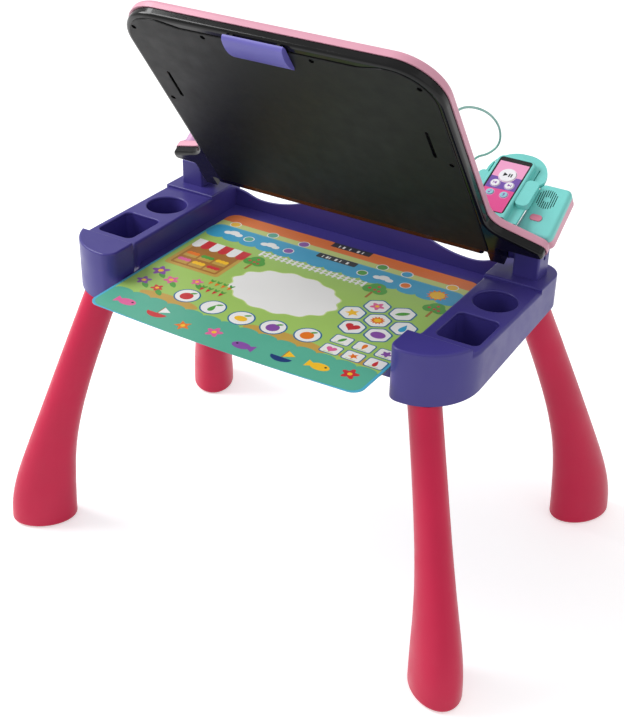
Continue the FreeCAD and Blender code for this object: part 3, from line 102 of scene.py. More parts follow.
def paint(red, green, blue):
    # screen colour, 0 to 255, as Blender's linear colour
    def linear(value):
        share = value / 255
        return share / 12.92 if share <= 0.04045 else ((share + 0.055) / 1.055) ** 2.4
    return (linear(red), linear(green), linear(blue), 1)


def startMaterial(name):
    material = bpy.data.materials.new(name)
    material.use_nodes = True
    tree = material.node_tree
    shader = tree.nodes["Principled BSDF"]
    coords = tree.nodes.new("ShaderNodeTexCoord")
    return material, tree, shader, coords.outputs["Object"]


def addNoise(tree, place, scale, detail=2.0, rough=0.5):
    noise = tree.nodes.new("ShaderNodeTexNoise")
    noise.inputs["Scale"].default_value = scale
    noise.inputs["Detail"].default_value = detail
    noise.inputs["Roughness"].default_value = rough
    tree.links.new(place, noise.inputs["Vector"])
    return noise.outputs["Fac"]


def addRange(tree, value, low, high, fromLow=0.3, fromHigh=0.7):
    span = tree.nodes.new("ShaderNodeMapRange")
    span.inputs["From Min"].default_value = fromLow
    span.inputs["From Max"].default_value = fromHigh
    span.inputs["To Min"].default_value = low
    span.inputs["To Max"].default_value = high
    tree.links.new(value, span.inputs["Value"])
    return span.outputs["Result"]


def addMix(tree, factor, first, second):
    mix = tree.nodes.new("ShaderNodeMix")
    mix.data_type = "RGBA"
    sockets = [s for s in mix.inputs if s.enabled]
    for value, socket in zip((factor, first, second), sockets):
        if isinstance(value, (tuple, float, int)):
            socket.default_value = value
        else:
            tree.links.new(value, socket)
    return next(s for s in mix.outputs if s.enabled)


def addBump(tree, shader, height, strength, distance):
    bump = tree.nodes.new("ShaderNodeBump")
    bump.inputs["Strength"].default_value = strength
    bump.inputs["Distance"].default_value = distance
    tree.links.new(height, bump.inputs["Height"])
    tree.links.new(bump.outputs["Normal"], shader.inputs["Normal"])


def shade(colour, share):
    return tuple(min(1, channel * share) for channel in colour[:3]) + (1,)


def mouldedPlastic(name, colour, rough=0.42, grain=700, bump=0.12, cloud=7, spread=0.07, gloss=0.5):
    material, tree, shader, place = startMaterial(name)
    shader.inputs["Specular IOR Level"].default_value = gloss
    drift = addRange(tree, addNoise(tree, place, cloud, 3), 0, 1)
    tree.links.new(addMix(tree, drift, shade(colour, 1 - spread), shade(colour, 1 + spread)),
                   shader.inputs["Base Color"])
    tree.links.new(addRange(tree, addNoise(tree, place, cloud * 6, 4), rough - 0.05, rough + 0.06),
                   shader.inputs["Roughness"])
    addBump(tree, shader, addNoise(tree, place, grain, 2), bump, 0.0002)
    return material


def addMath(tree, kind, first, second=0.0):
    step = tree.nodes.new("ShaderNodeMath")
    step.operation = kind
    for value, socket in zip((first, second), step.inputs):
        if isinstance(value, (float, int)):
            socket.default_value = value
        else:
            tree.links.new(value, socket)
    return step.outputs[0]


def splitAxes(tree, place, matrix=None):
    # coordinates along a piece's own axes, where its matrix is given
    if matrix is not None:
        mapping = tree.nodes.new("ShaderNodeMapping")
        mapping.vector_type = "TEXTURE"
        mapping.inputs["Location"].default_value = matrix.translation
        mapping.inputs["Rotation"].default_value = matrix.to_euler()
        tree.links.new(place, mapping.inputs["Vector"])
        place = mapping.outputs["Vector"]
    split = tree.nodes.new("ShaderNodeSeparateXYZ")
    tree.links.new(place, split.inputs["Vector"])
    return split.outputs


def boxMask(tree, across, along, x, y, halfWide, halfTall):
    def within(value, middle, half):
        away = addMath(tree, "ABSOLUTE", addMath(tree, "SUBTRACT", value, middle * mm))
        return addMath(tree, "LESS_THAN", away, half * mm)
    return addMath(tree, "MULTIPLY", within(across, x, halfWide), within(along, y, halfTall))


def discMask(tree, across, along, x, y, radius):
    wide, tall = addMath(tree, "SUBTRACT", across, x * mm), addMath(tree, "SUBTRACT", along, y * mm)
    reach = addMath(tree, "ADD", addMath(tree, "MULTIPLY", wide, wide), addMath(tree, "MULTIPLY", tall, tall))
    return addMath(tree, "LESS_THAN", reach, (radius * mm) ** 2)


def waveMask(tree, across, along, level, rise, length):
    # everything above a line that waves
    wave = addMath(tree, "SINE", addMath(tree, "MULTIPLY", across, 2 * math.pi / (length * mm)))
    line = addMath(tree, "ADD", addMath(tree, "MULTIPLY", wave, rise * mm), level * mm)
    return addMath(tree, "GREATER_THAN", along, line)


def printedSheet(name, ground, marks, matrix=None, upright=False, rough=0.4, gloss=0.5):
    # a sheet printed with plain blocks and dots, each mark over the last
    masks = {"box": boxMask, "disc": discMask, "wave": waveMask}
    material, tree, shader, place = startMaterial(name)
    shader.inputs["Specular IOR Level"].default_value = gloss
    axes = splitAxes(tree, place, matrix)
    across, along = axes[0], axes[2] if upright else axes[1]
    colour = ground
    for kind, sizes, tint in marks:
        mask = masks[kind](tree, across, along, *sizes)
        colour = addMix(tree, mask, colour, tint)
    speckle = addRange(tree, addNoise(tree, place, 1400, 2), 0, 0.05)
    tree.links.new(addMix(tree, speckle, colour, (0.9, 0.9, 0.9, 1)), shader.inputs["Base Color"])
    tree.links.new(addRange(tree, addNoise(tree, place, 60, 3), rough - 0.05, rough + 0.05),
                   shader.inputs["Roughness"])
    addBump(tree, shader, addNoise(tree, place, 900, 2), 0.05, 0.0001)
    return material


def boardSkin(name, colour, faceLow):
    # fine matt writing face on a glossier rim
    material, tree, shader, place = startMaterial(name)
    shader.inputs["Specular IOR Level"].default_value = 0.3
    height = splitAxes(tree, place, lidMatrix)[2]
    face = addMath(tree, "LESS_THAN", height, faceLow * mm)
    dust = addRange(tree, addNoise(tree, place, 9, 4), 0, 1)
    tree.links.new(addMix(tree, dust, shade(colour, 0.85), shade(colour, 1.2)), shader.inputs["Base Color"])
    skin = addRange(tree, addNoise(tree, place, 45, 4), 0.46, 0.56)
    rim = addRange(tree, addNoise(tree, place, 30, 3), 0.13, 0.18)
    tree.links.new(addMath(tree, "ADD", addMath(tree, "MULTIPLY", face, skin),
                           addMath(tree, "MULTIPLY", addMath(tree, "SUBTRACT", 1.0, face), rim)),
                   shader.inputs["Roughness"])
    addBump(tree, shader, addNoise(tree, place, 1100, 2), 0.08, 0.0001)
    return material


def deepTint(name, colour, deepColour, matrix, depth, ring=None, rough=0.38):
    # one colour at the front and another behind a depth, all over or only inside a ring: real two-tone on the
    # phone's back, painted shade in the speaker's grille
    material, tree, shader, place = startMaterial(name)
    axes = splitAxes(tree, place, matrix)
    behind = addMath(tree, "GREATER_THAN", axes[1], depth * mm)
    if ring:
        behind = addMath(tree, "MULTIPLY", behind, discMask(tree, axes[0], axes[2], *ring))
    drift = addRange(tree, addNoise(tree, place, 7, 3), 0, 1)
    front = addMix(tree, drift, shade(colour, 0.94), shade(colour, 1.06))
    tree.links.new(addMix(tree, behind, front, deepColour), shader.inputs["Base Color"])
    tree.links.new(addRange(tree, addNoise(tree, place, 42, 4), rough - 0.05, rough + 0.06),
                   shader.inputs["Roughness"])
    addBump(tree, shader, addNoise(tree, place, 700, 2), 0.12, 0.0002)
    return material


finishes = {
    "base_purple": mouldedPlastic("basePurple", paint(65, 57, 136), 0.36, gloss=0.4),
    "leg_crimson": mouldedPlastic("legCrimson", paint(206, 24, 72), 0.36, gloss=0.35),
    "board_black": boardSkin("boardBlack", paint(13, 13, 14), -26.0),
    "shell_pink": mouldedPlastic("shellPink", paint(224, 160, 180), 0.38),
    "console_teal": mouldedPlastic("consoleTeal", paint(124, 214, 208), 0.36),
    "clip_violet": mouldedPlastic("clipViolet", paint(112, 106, 192), 0.38),
    "button_mauve": mouldedPlastic("buttonMauve", paint(206, 160, 200), 0.35),
    "button_pink": mouldedPlastic("buttonPink", paint(226, 132, 158), 0.45),
    "button_white": mouldedPlastic("buttonWhite", paint(240, 240, 244), 0.25),
    "cap_yellow": mouldedPlastic("capYellow", paint(240, 204, 96), 0.38),
    "nib_grey": mouldedPlastic("nibGrey", paint(92, 94, 98), 0.4),
    "bed_white": mouldedPlastic("bedWhite", paint(238, 236, 240), 0.28, spread=0.025),
    "window_clear": mouldedPlastic("windowFrosted", paint(226, 224, 232), 0.55),
    "panel_print": mouldedPlastic("panelPrint", paint(222, 92, 150), 0.2),
    "page_print": mouldedPlastic("pagePrint", paint(150, 196, 110), 0.45),
    "circuit_green": mouldedPlastic("circuitGreen", paint(30, 96, 58), 0.4),
    "film_grey": mouldedPlastic("filmGrey", paint(146, 146, 152), 0.5),
    "cell_metal": mouldedPlastic("cellMetal", paint(120, 120, 124), 0.35),
    "steel": mouldedPlastic("screwSteel", paint(150, 150, 154), 0.35),
    "cord_teal": mouldedPlastic("cordTeal", paint(132, 190, 178), 0.5),
}
for part in frame["record"]["subparts"]:
    item = cadNodes[part["node"]]
    item.data.materials.clear()
    item.data.materials.append(finishes[part["material_slot"]])

# Printed nodes: the phone's glossy panel and the two sheets
bandBlack, haloPale = paint(12, 11, 14), paint(196, 178, 216)
panelMarks = [("wave", (44, 0.7, 60), paint(112, 78, 166)), ("wave", (66, 1.8, 62), paint(238, 160, 200))]
panelMarks += [("disc", (x, z, radius), tint) for x, z, radius, tint in (
    (0, 69, 12.2, paint(246, 214, 232)), (-9.7, 52.5, 6.8, haloPale), (9.7, 52.5, 6.8, haloPale),
    (-9.6, 36, 6.2, paint(232, 150, 196)), (9.6, 36, 6.2, paint(232, 150, 196)))]
panelMarks += [("box", (0, 96.3, 40, 4), bandBlack), ("box", (22.5, 50, 2.3, 60), bandBlack),
               ("box", (-22.5, 50, 2.3, 60), bandBlack), ("box", (0, 5, 40, 2), bandBlack)]
sheetOrange, sheetBlack, sheetWhite = paint(236, 120, 34), paint(26, 26, 30), paint(243, 242, 240)
backMarks = [("box", (0, 83, 210, 14.5), sheetOrange), ("box", (4, 87.5, 31, 6.5), sheetBlack)]
backMarks += [("box", (x, 86.5, wide, 3.2), sheetWhite)
              for x, wide in ((-15, 0.9), (-8, 1.7), (2, 0.9), (15, 1.7), (22, 0.9))]
for x, tint in ((-176, (250, 196, 48)), (-112, (92, 178, 152)), (-60, (140, 82, 168)), (66, (84, 164, 66)),
                (104, (58, 165, 207)), (172, (250, 196, 48))):
    backMarks += [("disc", (x, 64, 8.6), sheetWhite), ("disc", (x, 64, 7.2), paint(*tint))]
printedNodes = {
    "phone_face": printedSheet("phonePanel", paint(224, 78, 146), panelMarks, phoneMatrix, True, 0.14, 0.2),
    "page_back": printedSheet("backSheet", paint(204, 216, 128), backMarks),
    "page_front": printedSheet("frontSheet", paint(70, 176, 208), []),
    "phone_back": deepTint("phoneBack", paint(124, 214, 208), paint(224, 160, 180), phoneMatrix, 15.5),
    # inside the grille ring, 0.5 mm behind the face, the teal is painted dark: painted shade in the grille,
    # not a different plastic
    "speaker_front": deepTint("speakerFront", paint(124, 214, 208), paint(20, 34, 36), speakerMatrix, 0.5,
                              (-1, 54, 15.5)),
    "speaker_driver": mouldedPlastic("driverCone", paint(26, 28, 30), 0.6),
    "music_button": mouldedPlastic("modeAqua", paint(150, 208, 220), 0.25),
    "voice_button": mouldedPlastic("voiceAqua", paint(150, 208, 220), 0.25),
}
for name, material in printedNodes.items():
    cadNodes[name].data.materials[0] = material
print("finishes on the packed nodes")

# Stylus cord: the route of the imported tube, as one smooth line
cordMake = {
    "route": [(158, 60, 100.3), (158, 60, 110.3), (166, 44, 128), (175, 44, 147), (182, 84, 148),
              (190, 152, 122), (199, 224, 78), (210, 272, 37), (210, 272, 27)],
    "thick": 0.003, "length": 0.32}


def makeCord(make):
    curve = bpy.data.curves.new("stylusCord", "CURVE")
    curve.dimensions = "3D"
    spline = curve.splines.new("NURBS")
    spline.points.add(len(make["route"]) - 1)
    for point, place in zip(spline.points, make["route"]):
        point.co = (*lidPoint(*place), 1)
    spline.order_u = 3
    spline.use_endpoint_u = True
    spline.resolution_u = 16
    curve.bevel_depth = make["thick"] / 2
    curve.bevel_resolution = 6
    curve.use_fill_caps = True
    cord = bpy.data.objects.new("stylusCord", curve)
    bpy.context.scene.collection.objects.link(cord)
    curve.materials.append(finishes["cord_teal"])
    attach(cord, "stylus")
    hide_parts("stylus_cord")
    return cord


makeCord(cordMake)
print("cord laid")


# Modelling tools

def focus(*items):
    bpy.ops.object.select_all(action="DESELECT")
    for item in items:
        item.select_set(True)
    bpy.context.view_layer.objects.active = items[0]


def settle(item, matrix=Matrix()):
    # the piece goes to its place, and the place goes into its mesh
    bpy.context.view_layer.update()
    item.matrix_world = matrix @ item.matrix_world
    focus(item)
    bpy.ops.object.transform_apply(location=True, rotation=True, scale=True)
    return item


def joinAll(items, name):
    focus(*items)
    if len(items) > 1:
        bpy.ops.object.join()
    items[0].name = items[0].data.name = name
    return items[0]


def finishWith(item, kind, **settings):
    modifier = item.modifiers.new(kind.title(), kind)
    for key, value in settings.items():
        setattr(modifier, key, value)
    focus(item)
    bpy.ops.object.modifier_apply(modifier=modifier.name)
    return item


def edit(item, mode="VERT", test=None):
    # edit mode, with all selected or only the faces or edges whose place and normal pass the test
    focus(item)
    bpy.context.tool_settings.mesh_select_mode = tuple(mode == kind for kind in ("VERT", "EDGE", "FACE"))
    mesh = item.data
    if test:
        for part in (mesh.vertices, mesh.edges, mesh.polygons):
            part.foreach_set("select", [False] * len(part))
    if test and mode == "FACE":
        for face in mesh.polygons:
            face.select = test(face.center, face.normal)
    if test and mode == "EDGE":
        for edge in mesh.edges:
            ends = [mesh.vertices[i].co for i in edge.vertices]
            edge.select = test(ends[0], ends[1])
    bpy.ops.object.mode_set(mode="EDIT")
    if not test:
        bpy.ops.mesh.select_all(action="SELECT")


def leaveEdit():
    bpy.ops.object.mode_set(mode="OBJECT")


def faceOut(item):
    edit(item)
    bpy.ops.mesh.normals_make_consistent(inside=False)
    leaveEdit()
    return item


# Flat printed shapes, in millimetres

def polarShape(count, reach):
    angles = [2 * math.pi * i / count for i in range(count)]
    return [(reach(a) * math.cos(a), reach(a) * math.sin(a)) for a in angles]


def turnShape(count, place):
    return [place(2 * math.pi * i / count) for i in range(count)]


printShapes = {
    "disc": polarShape(28, lambda a: 1),
    "flower": polarShape(45, lambda a: 0.78 + 0.22 * math.cos(5 * a)),
    "burst": polarShape(24, lambda a: 1 if round(a * 12 / math.pi) % 2 else 0.68),
    "star": polarShape(10, lambda a: 1 if round(a * 5 / math.pi) % 2 else 0.46),
    "drop": turnShape(30, lambda a: (0.62 * math.sin(a) * math.sin(a / 2) ** 1.4, math.cos(a))),
    "leaf": turnShape(24, lambda a: (math.cos(a), 0.4 * math.sin(a) * abs(math.sin(a)) ** 0.5)),
    "heart": turnShape(32, lambda a: (math.sin(a) ** 3, (13 * math.cos(a) - 5 * math.cos(2 * a)
                                                         - 2 * math.cos(3 * a) - math.cos(4 * a)) / 16)),
    "scallop": polarShape(112, lambda a: 0.965 + 0.035 * math.cos(14 * a)),
    "bowl": turnShape(28, lambda a: (math.cos(a), min(0, math.sin(a)))),
    "three": polarShape(3, lambda a: 1), "six": polarShape(6, lambda a: 1),
}
printMake = {"lift": 0.04, "step": 0.05, "thick": 0.03}


def inkHeight(layer):
    return (printMake["lift"] + printMake["step"] * layer) * mm


def inkPiece(kind, x, y, size, layer, ink, turn=0, stretch=1.0, corner=0):
    points = printShapes[kind]
    bpy.ops.mesh.primitive_circle_add(vertices=len(points), radius=size * mm, fill_type="NGON",
                                      location=(x * mm, y * mm, inkHeight(layer)))
    piece = bpy.context.active_object
    for vertex, (across, along) in zip(piece.data.vertices, points):
        vertex.co = (across * size * mm, along * size * stretch * mm, 0)
    piece.rotation_euler.z = math.radians(turn)
    if corner:
        edit(piece)
        bpy.ops.mesh.bevel(offset=corner * mm, segments=4, affect="VERTICES")
        leaveEdit()
    piece.data.materials.append(ink)
    return piece


def inkPlate(x, y, wide, tall, layer, ink, corner=0, turn=0):
    bpy.ops.mesh.primitive_plane_add(size=1, location=(x * mm, y * mm, inkHeight(layer)))
    piece = bpy.context.active_object
    for vertex in piece.data.vertices:
        vertex.co = (vertex.co.x * wide * mm, vertex.co.y * tall * mm, 0)
    piece.rotation_euler.z = math.radians(turn)
    if corner:
        edit(piece)
        bpy.ops.mesh.bevel(offset=corner * mm, segments=5, affect="VERTICES")
        leaveEdit()
    piece.data.materials.append(ink)
    return piece


def setPrint(items, name, matrix, body):
    # the flat shapes become one thin print on its carrier
    for item in items:
        settle(item)
    art = joinAll(items, name)
    finishWith(art, "SOLIDIFY", thickness=printMake["thick"] * mm, offset=0)
    faceOut(art)
    settle(art, matrix)
    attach(art, body)
    return art


# Front page: a market garden, printed on the sheet
gardenPage = {
    "top": 400, "half": 197.5, "front": -231, "rear": 51, "corner": 14, "bulge": 9, "skyline": 20,
    "shore": -182, "oval": (-4, -74, 80, 0.68), "comb": (134, -70, 37, 19.5), "stall": (-146, -46),
    "discs": [(-104, -150), (-58, -157), (-12, -160), (34, -157), (80, -150)],
    "cards": [(x, y) for y in (-137, -163) for x in (122, 153, 184)], "fence": (-92, 70),
    "trees": [(90, 0, 14), (180, -4, 13), (-86, -22, 13)],
    "rows": [(-100, -104, "orange"), (-100, -124, "red")],
}
inkTints = {"meadow": (166, 203, 104), "sky": (58, 165, 207), "pond": (92, 178, 152), "sand": (200, 162, 78),
            "timber": (172, 116, 52), "white": (243, 242, 240), "frame": (44, 112, 160),
            "sun": (250, 196, 48),
            "orange": (236, 122, 36), "red": (208, 52, 58), "pink": (226, 104, 158), "violet": (140, 82, 168),
            "navy": (36, 62, 120), "leaf": (84, 164, 66), "ink": (26, 26, 30), "pale": (206, 224, 150)}
inks = {name: mouldedPlastic("ink" + name.capitalize(), paint(*rgb), 0.38, grain=1500, bump=0.04, spread=0.03)
        for name, rgb in inkTints.items()}


def pageField(make, layer, ink, low=None, high=None):
    # the sheet's printed area, with its bowed front edge, or the strip of it between two lines
    middle, tall = (make["rear"] + make["front"]) / 2, make["rear"] - make["front"]
    field = inkPlate(0, middle, 2 * make["half"], tall, layer, ink, make["corner"])
    settle(field)
    edge = make["front"] * mm + 1e-6
    edit(field, "EDGE", lambda a, b: a.y < edge and b.y < edge)
    bpy.ops.mesh.subdivide(number_cuts=17)
    leaveEdit()
    for vertex in field.data.vertices:
        if vertex.co.y < (make["front"] + make["corner"]) * mm:
            vertex.co.y -= make["bulge"] * mm * (1 - (vertex.co.x / make["half"] / mm) ** 2)
    for line, keepRear in ((low, True), (high, False)):
        if line is not None:
            edit(field)
            bpy.ops.mesh.bisect(plane_co=(0, line * mm, 0), plane_no=(0, 1, 0),
                                clear_inner=keepRear, clear_outer=not keepRear)
            leaveEdit()
    return field


def pageGround(make):
    art = [pageField(make, 0, inks["meadow"]), pageField(make, 1, inks["sky"], low=make["skyline"]),
           pageField(make, 1, inks["pond"], high=make["shore"])]
    for i in range(14):
        art.append(inkPiece("disc", -182 + 28 * i, make["skyline"], 14, 1.5, inks["sky"], stretch=0.5))
        art.append(inkPiece("disc", -182 + 28 * i, make["shore"], 14, 1.5, inks["pond"], stretch=0.42))
    for x, y, size in ((-118, -172, 46), (60, -174, 60), (164, -168, 30)):
        art.append(inkPiece("disc", x, y, size, 0.5, inks["sand"], stretch=0.24))
    return art


def pageHeader(make):
    art = [inkPlate(4, 47, 62, 13, 2, inks["ink"], 2.5)]
    for i, x in enumerate((-18, -11, -7, 3, 10, 21)):
        art.append(inkPlate(x, 46, 1.6 + (i % 2) * 1.8, 6.5, 3, inks["white"]))
    for x, y in ((-160, 36), (-96, 33), (84, 34)):
        for layer, (dx, dy, size) in zip((2, 2.3, 2), ((-9, -1, 6), (0, 2, 8), (9, -1, 6))):
            art.append(inkPiece("disc", x + dx, y + dy, size, layer, inks["white"], stretch=0.8))
    art += [inkPiece("burst", 166, 32, 15, 2, inks["orange"]), inkPiece("disc", 166, 32, 10, 3, inks["sun"])]
    for x, tint in ((-132, "pond"), (-66, "violet"), (52, "leaf"), (118, "orange")):
        art += [inkPiece("disc", x, 33, 8, 2, inks["white"]), inkPiece("disc", x, 33, 6.6, 3, inks[tint])]
    return art


def marketStall(make):
    x, y = make["stall"]
    art = [inkPlate(x, y, 88, 84, 1, inks["sand"], 5), inkPlate(x, y - 8, 76, 56, 2, inks["timber"], 3)]
    for i in range(6):
        tint = inks["red"] if i % 2 else inks["white"]
        across = x - 36.5 + 14.6 * i
        art += [inkPlate(across, y + 34, 14.6, 18, 3, tint), inkPiece("disc", across, y + 25, 7.3, 3.5, tint)]
    for row, tints in enumerate((("orange", "leaf", "sun"), ("pink", "sun", "red"))):
        for i, tint in enumerate(tints):
            across, along = x - 24 + 24 * i, y - 2 - 21 * row
            art.append(inkPlate(across, along - 5, 21, 9, 4, inks["sand"], 1.5))
            for k in (-1, 0, 1):
                layer = 4.5 if k else 5
                art.append(inkPiece("disc", across + 6 * k, along + 1.5, 4.2, layer, inks[tint]))
    return art


def honeyComb(make):
    x, y, pitch, size = make["comb"]
    turns = [k * math.pi / 3 for k in range(6)]
    cells = [(0, 0)] + [(pitch * math.cos(turn), pitch * math.sin(turn)) for turn in turns]
    signs = [("burst", "orange", 0, 1), ("drop", "sky", 0, 1), ("leaf", "leaf", 40, 1),
             ("flower", "pink", 0, 1), ("star", "sun", 18, 1), ("heart", "red", 0, 1),
             ("disc", "violet", 0, 0.8)]
    art = []
    for (dx, dy), (kind, tint, turn, stretch) in zip(cells, signs):
        art += [inkPiece("six", x + dx, y + dy, size, 2, inks["frame"], 30, corner=3),
                inkPiece("six", x + dx, y + dy, size - 2.4, 3, inks["white"], 30, corner=3),
                inkPiece(kind, x + dx, y + dy, 10, 4, inks[tint], turn, stretch)]
    art += [inkPiece("disc", x, y, 4.6, 5, inks["sun"]),
            inkPiece("disc", x + cells[3][0], y + cells[3][1], 3, 5, inks["sun"])]
    return art


def fruitDiscs(make):
    signs = [("disc", "red", 1), ("drop", "leaf", 1), ("disc", "sun", 0.7), ("disc", "violet", 1),
             ("disc", "orange", 1)]
    art = []
    for (x, y), (kind, tint, stretch) in zip(make["discs"], signs):
        art += [inkPiece("disc", x, y, 18, 2, inks["frame"]), inkPiece("disc", x, y, 16, 3, inks["white"]),
                inkPiece(kind, x, y - 1.5, 9, 4, inks[tint], 0, stretch),
                inkPiece("leaf", x + 4, y + 9, 5, 5, inks["leaf"], 35)]
    return art


def pondLife():
    art = []
    for x, y, tint, way in ((-158, -206, "pink", 1), (26, -216, "violet", -1), (132, -206, "sun", 1)):
        art += [inkPiece("disc", x, y, 13, 2, inks[tint], stretch=0.6),
                inkPiece("three", x - 14 * way, y, 9, 1.75, inks[tint], 0 if way > 0 else 180, 1),
                inkPiece("disc", x + 7 * way, y + 2, 1.6, 3, inks["ink"])]
    for x, y, hull, sail in ((-108, -208, "red", "white"), (82, -212, "navy", "sun")):
        art += [inkPiece("bowl", x, y, 15, 2, inks[hull], stretch=0.7),
                inkPlate(x, y + 9, 1.6, 18, 2, inks["timber"]),
                inkPiece("three", x + 5, y + 9, 9, 3, inks[sail], 0, 1)]
    for x, y, tint in ((-62, -216, "orange"), (170, -200, "red"), (-20, -208, "pink")):
        art += [inkPiece("star" if tint == "orange" else "flower", x, y, 12, 2, inks[tint], 18),
                inkPiece("disc", x, y, 3.2, 3, inks["sun"])]
    return art


def flowerBed():
    art = []
    for x, y, tint, size in ((-176, -112, "violet", 13), (-148, -126, "pink", 11), (-178, -146, "violet", 11),
                             (-116, -112, "pink", 9), (-150, -154, "red", 9)):
        art += [inkPiece("leaf", x + 9, y - 9, 10, 1, inks["leaf"], -40),
                inkPiece("flower", x, y, size, 2, inks[tint], x),
                inkPiece("disc", x, y, size * 0.3, 3, inks["sun"])]
    return art


def seedCards(make):
    # packets on small white cards
    signs = [("leaf", "leaf", 60), ("drop", "orange", 180), ("flower", "violet", 0),
             ("heart", "pink", 0), ("star", "orange", 18), ("drop", "red", 0)]
    art = []
    for (x, y), (kind, tint, turn) in zip(make["cards"], signs):
        art += [inkPlate(x, y, 27, 22, 2, inks["frame"], 4), inkPlate(x, y, 24, 19, 3, inks["white"], 3),
                inkPiece(kind, x, y, 7, 4, inks[tint], turn), inkPlate(x, y - 7.6, 14, 1.4, 4, inks["pale"])]
    return art


def gardenFence(make):
    low, high = make["fence"]
    art = [inkPlate((low + high) / 2, y, high - low, 1.8, 2, inks["white"]) for y in (3, 9)]
    for i in range(int((high - low) / 9) + 1):
        art.append(inkPlate(low + 9 * i, 6, 3.6, 15, 2.5, inks["white"], 1.2))
    return art


def orchard(make):
    art = []
    for x, y, size in make["trees"]:
        art.append(inkPlate(x, y - size, 3.4, size * 1.6, 2, inks["timber"]))
        for layer, (dx, dy, share) in zip((3, 3.3, 3.6), ((-0.55, 0, 0.7), (0.55, 0, 0.7), (0, 0.5, 0.85))):
            art.append(inkPiece("disc", x + dx * size, y + dy * size, share * size, layer, inks["leaf"]))
        for dx, dy in ((-0.6, 0.1), (0.1, 0.7), (0.5, -0.1), (0, 0)):
            art.append(inkPiece("disc", x + dx * size, y + dy * size, 0.17 * size, 4.2, inks["red"]))
    return art


def vegetableRows(make):
    art = []
    for x, y, tint in make["rows"]:
        for k in range(4):
            art += [inkPiece("drop", x + 10 * k, y, 5.4, 2, inks[tint], 180),
                    inkPiece("leaf", x + 10 * k - 1.5, y + 6, 4, 3, inks["leaf"], 120),
                    inkPiece("leaf", x + 10 * k + 1.5, y + 6, 4, 3.4, inks["leaf"], 60)]
    return art


def gardenPrint(make):
    x, y, size, stretch = make["oval"]
    art = pageGround(make) + pageHeader(make) + marketStall(make) + honeyComb(make) + fruitDiscs(make)
    art += pondLife() + flowerBed() + seedCards(make) + gardenFence(make)
    art += orchard(make) + vegetableRows(make)
    art += [inkPiece("scallop", x, y, size + 2.2, 1, inks["pale"], stretch=stretch),
            inkPiece("scallop", x, y, size, 2, inks["white"], stretch=stretch)]
    lift = Matrix.Translation((0, 0, make["top"] * mm))
    return setPrint(art, "gardenPrint", lift, "front_page")


gardenPrint(gardenPage)
print("front page printed")

# Signs on the toy phone's buttons, in millimetres on the phone's face
phoneSigns = {
    "face": -0.8, "low": 5,
    "play": (0, 64), "back": (-9.7, 47.5), "next": (9.7, 47.5), "music": (-9.6, 31), "voice": (9.6, 31)}


def signMatrix(make, body):
    x, z = make[body]
    return (phoneMatrix @ Matrix.Translation((x * mm, make["face"] * mm, (make["low"] + z) * mm))
            @ Matrix.Rotation(math.pi / 2, 4, "X"))


def phonePrints(make):
    dark, soft = inks["ink"], inks["violet"]
    signs = {
        "play": [inkPiece("three", -3.4, 0, 4, 0, dark), inkPlate(2.4, 0, 1.8, 6, 0, dark),
                 inkPlate(5.4, 0, 1.8, 6, 0, dark)],
        "back": [inkPiece("three", 0.6, 0, 2.6, 0, soft, 180), inkPlate(-2.4, 0, 0.9, 4, 0, soft)],
        "next": [inkPiece("three", -0.6, 0, 2.6, 0, soft), inkPlate(2.4, 0, 0.9, 4, 0, soft)],
        "music": [inkPiece("disc", -0.6, -1.6, 1.3, 0, soft), inkPlate(0.4, 0.4, 0.6, 4, 0, soft),
                  inkPiece("leaf", 1.4, 1.9, 1.3, 0, soft, -35)],
        "voice": [inkPiece("disc", 0, 0.7, 1.2, 0, soft, 0, 1.5), inkPlate(0, -1.8, 0.6, 1.4, 0, soft),
                  inkPlate(0, -2.6, 2.6, 0.6, 0, soft)]}
    for body, items in signs.items():
        setPrint(items, body + "Sign", signMatrix(make, body), body)


phonePrints(phoneSigns)
print("phone signs printed")

# Cross-head screws that can be seen, driven upwards or into the board
screwMake = {"head": 3.2, "thick": 2, "soft": 0.5, "shank": 1.5, "slotLong": 4.4, "slotWide": 1.0,
             "slotDeep": 1.1}
lidScrews = {"length": 14, "seat": 3,
             "places": [(203.998, 357.12), (-183.998, 357.12), (70.431, 365.952), (-78.431, 365.952),
                        (211.159, 217.344), (-191.159, 217.344)]}
coverScrews = {"length": 16, "slope": 21 / 314,
               "places": [(222.885, -36.13), (290.115, -29.85), (222.885, 109.88)]}
trayScrews = {"length": 7.8, "places": [(210.5, -78.5), (210.5, 6.5), (210.5, 91.5)], "seat": 390}


def crossScrew(make, length):
    # head upwards from z = 0, shank below
    bpy.ops.mesh.primitive_cylinder_add(vertices=32, radius=make["head"] * mm, depth=make["thick"] * mm,
                                        location=(0, 0, make["thick"] / 2 * mm))
    head = settle(bpy.context.active_object)
    top = make["thick"] * mm - 1e-6
    edit(head, "EDGE", lambda a, b: a.z > top and b.z > top)
    bpy.ops.mesh.bevel(offset=make["soft"] * mm, segments=3)
    leaveEdit()
    slots = []
    for turn in (0, math.pi / 2):
        bpy.ops.mesh.primitive_cube_add(size=1, location=(0, 0, make["thick"] * mm), rotation=(0, 0, turn))
        slot = bpy.context.active_object
        slot.scale = (make["slotLong"] * mm, make["slotWide"] * mm, 2 * make["slotDeep"] * mm)
        slots.append(settle(slot))
    for slot in slots:
        finishWith(head, "BOOLEAN", object=slot, operation="DIFFERENCE", solver="EXACT")
        bpy.data.objects.remove(slot)
    bpy.ops.mesh.primitive_cylinder_add(vertices=16, radius=make["shank"] * mm, depth=length * mm,
                                        location=(0, 0, -length / 2 * mm))
    return joinAll([head, settle(bpy.context.active_object)], "screw")


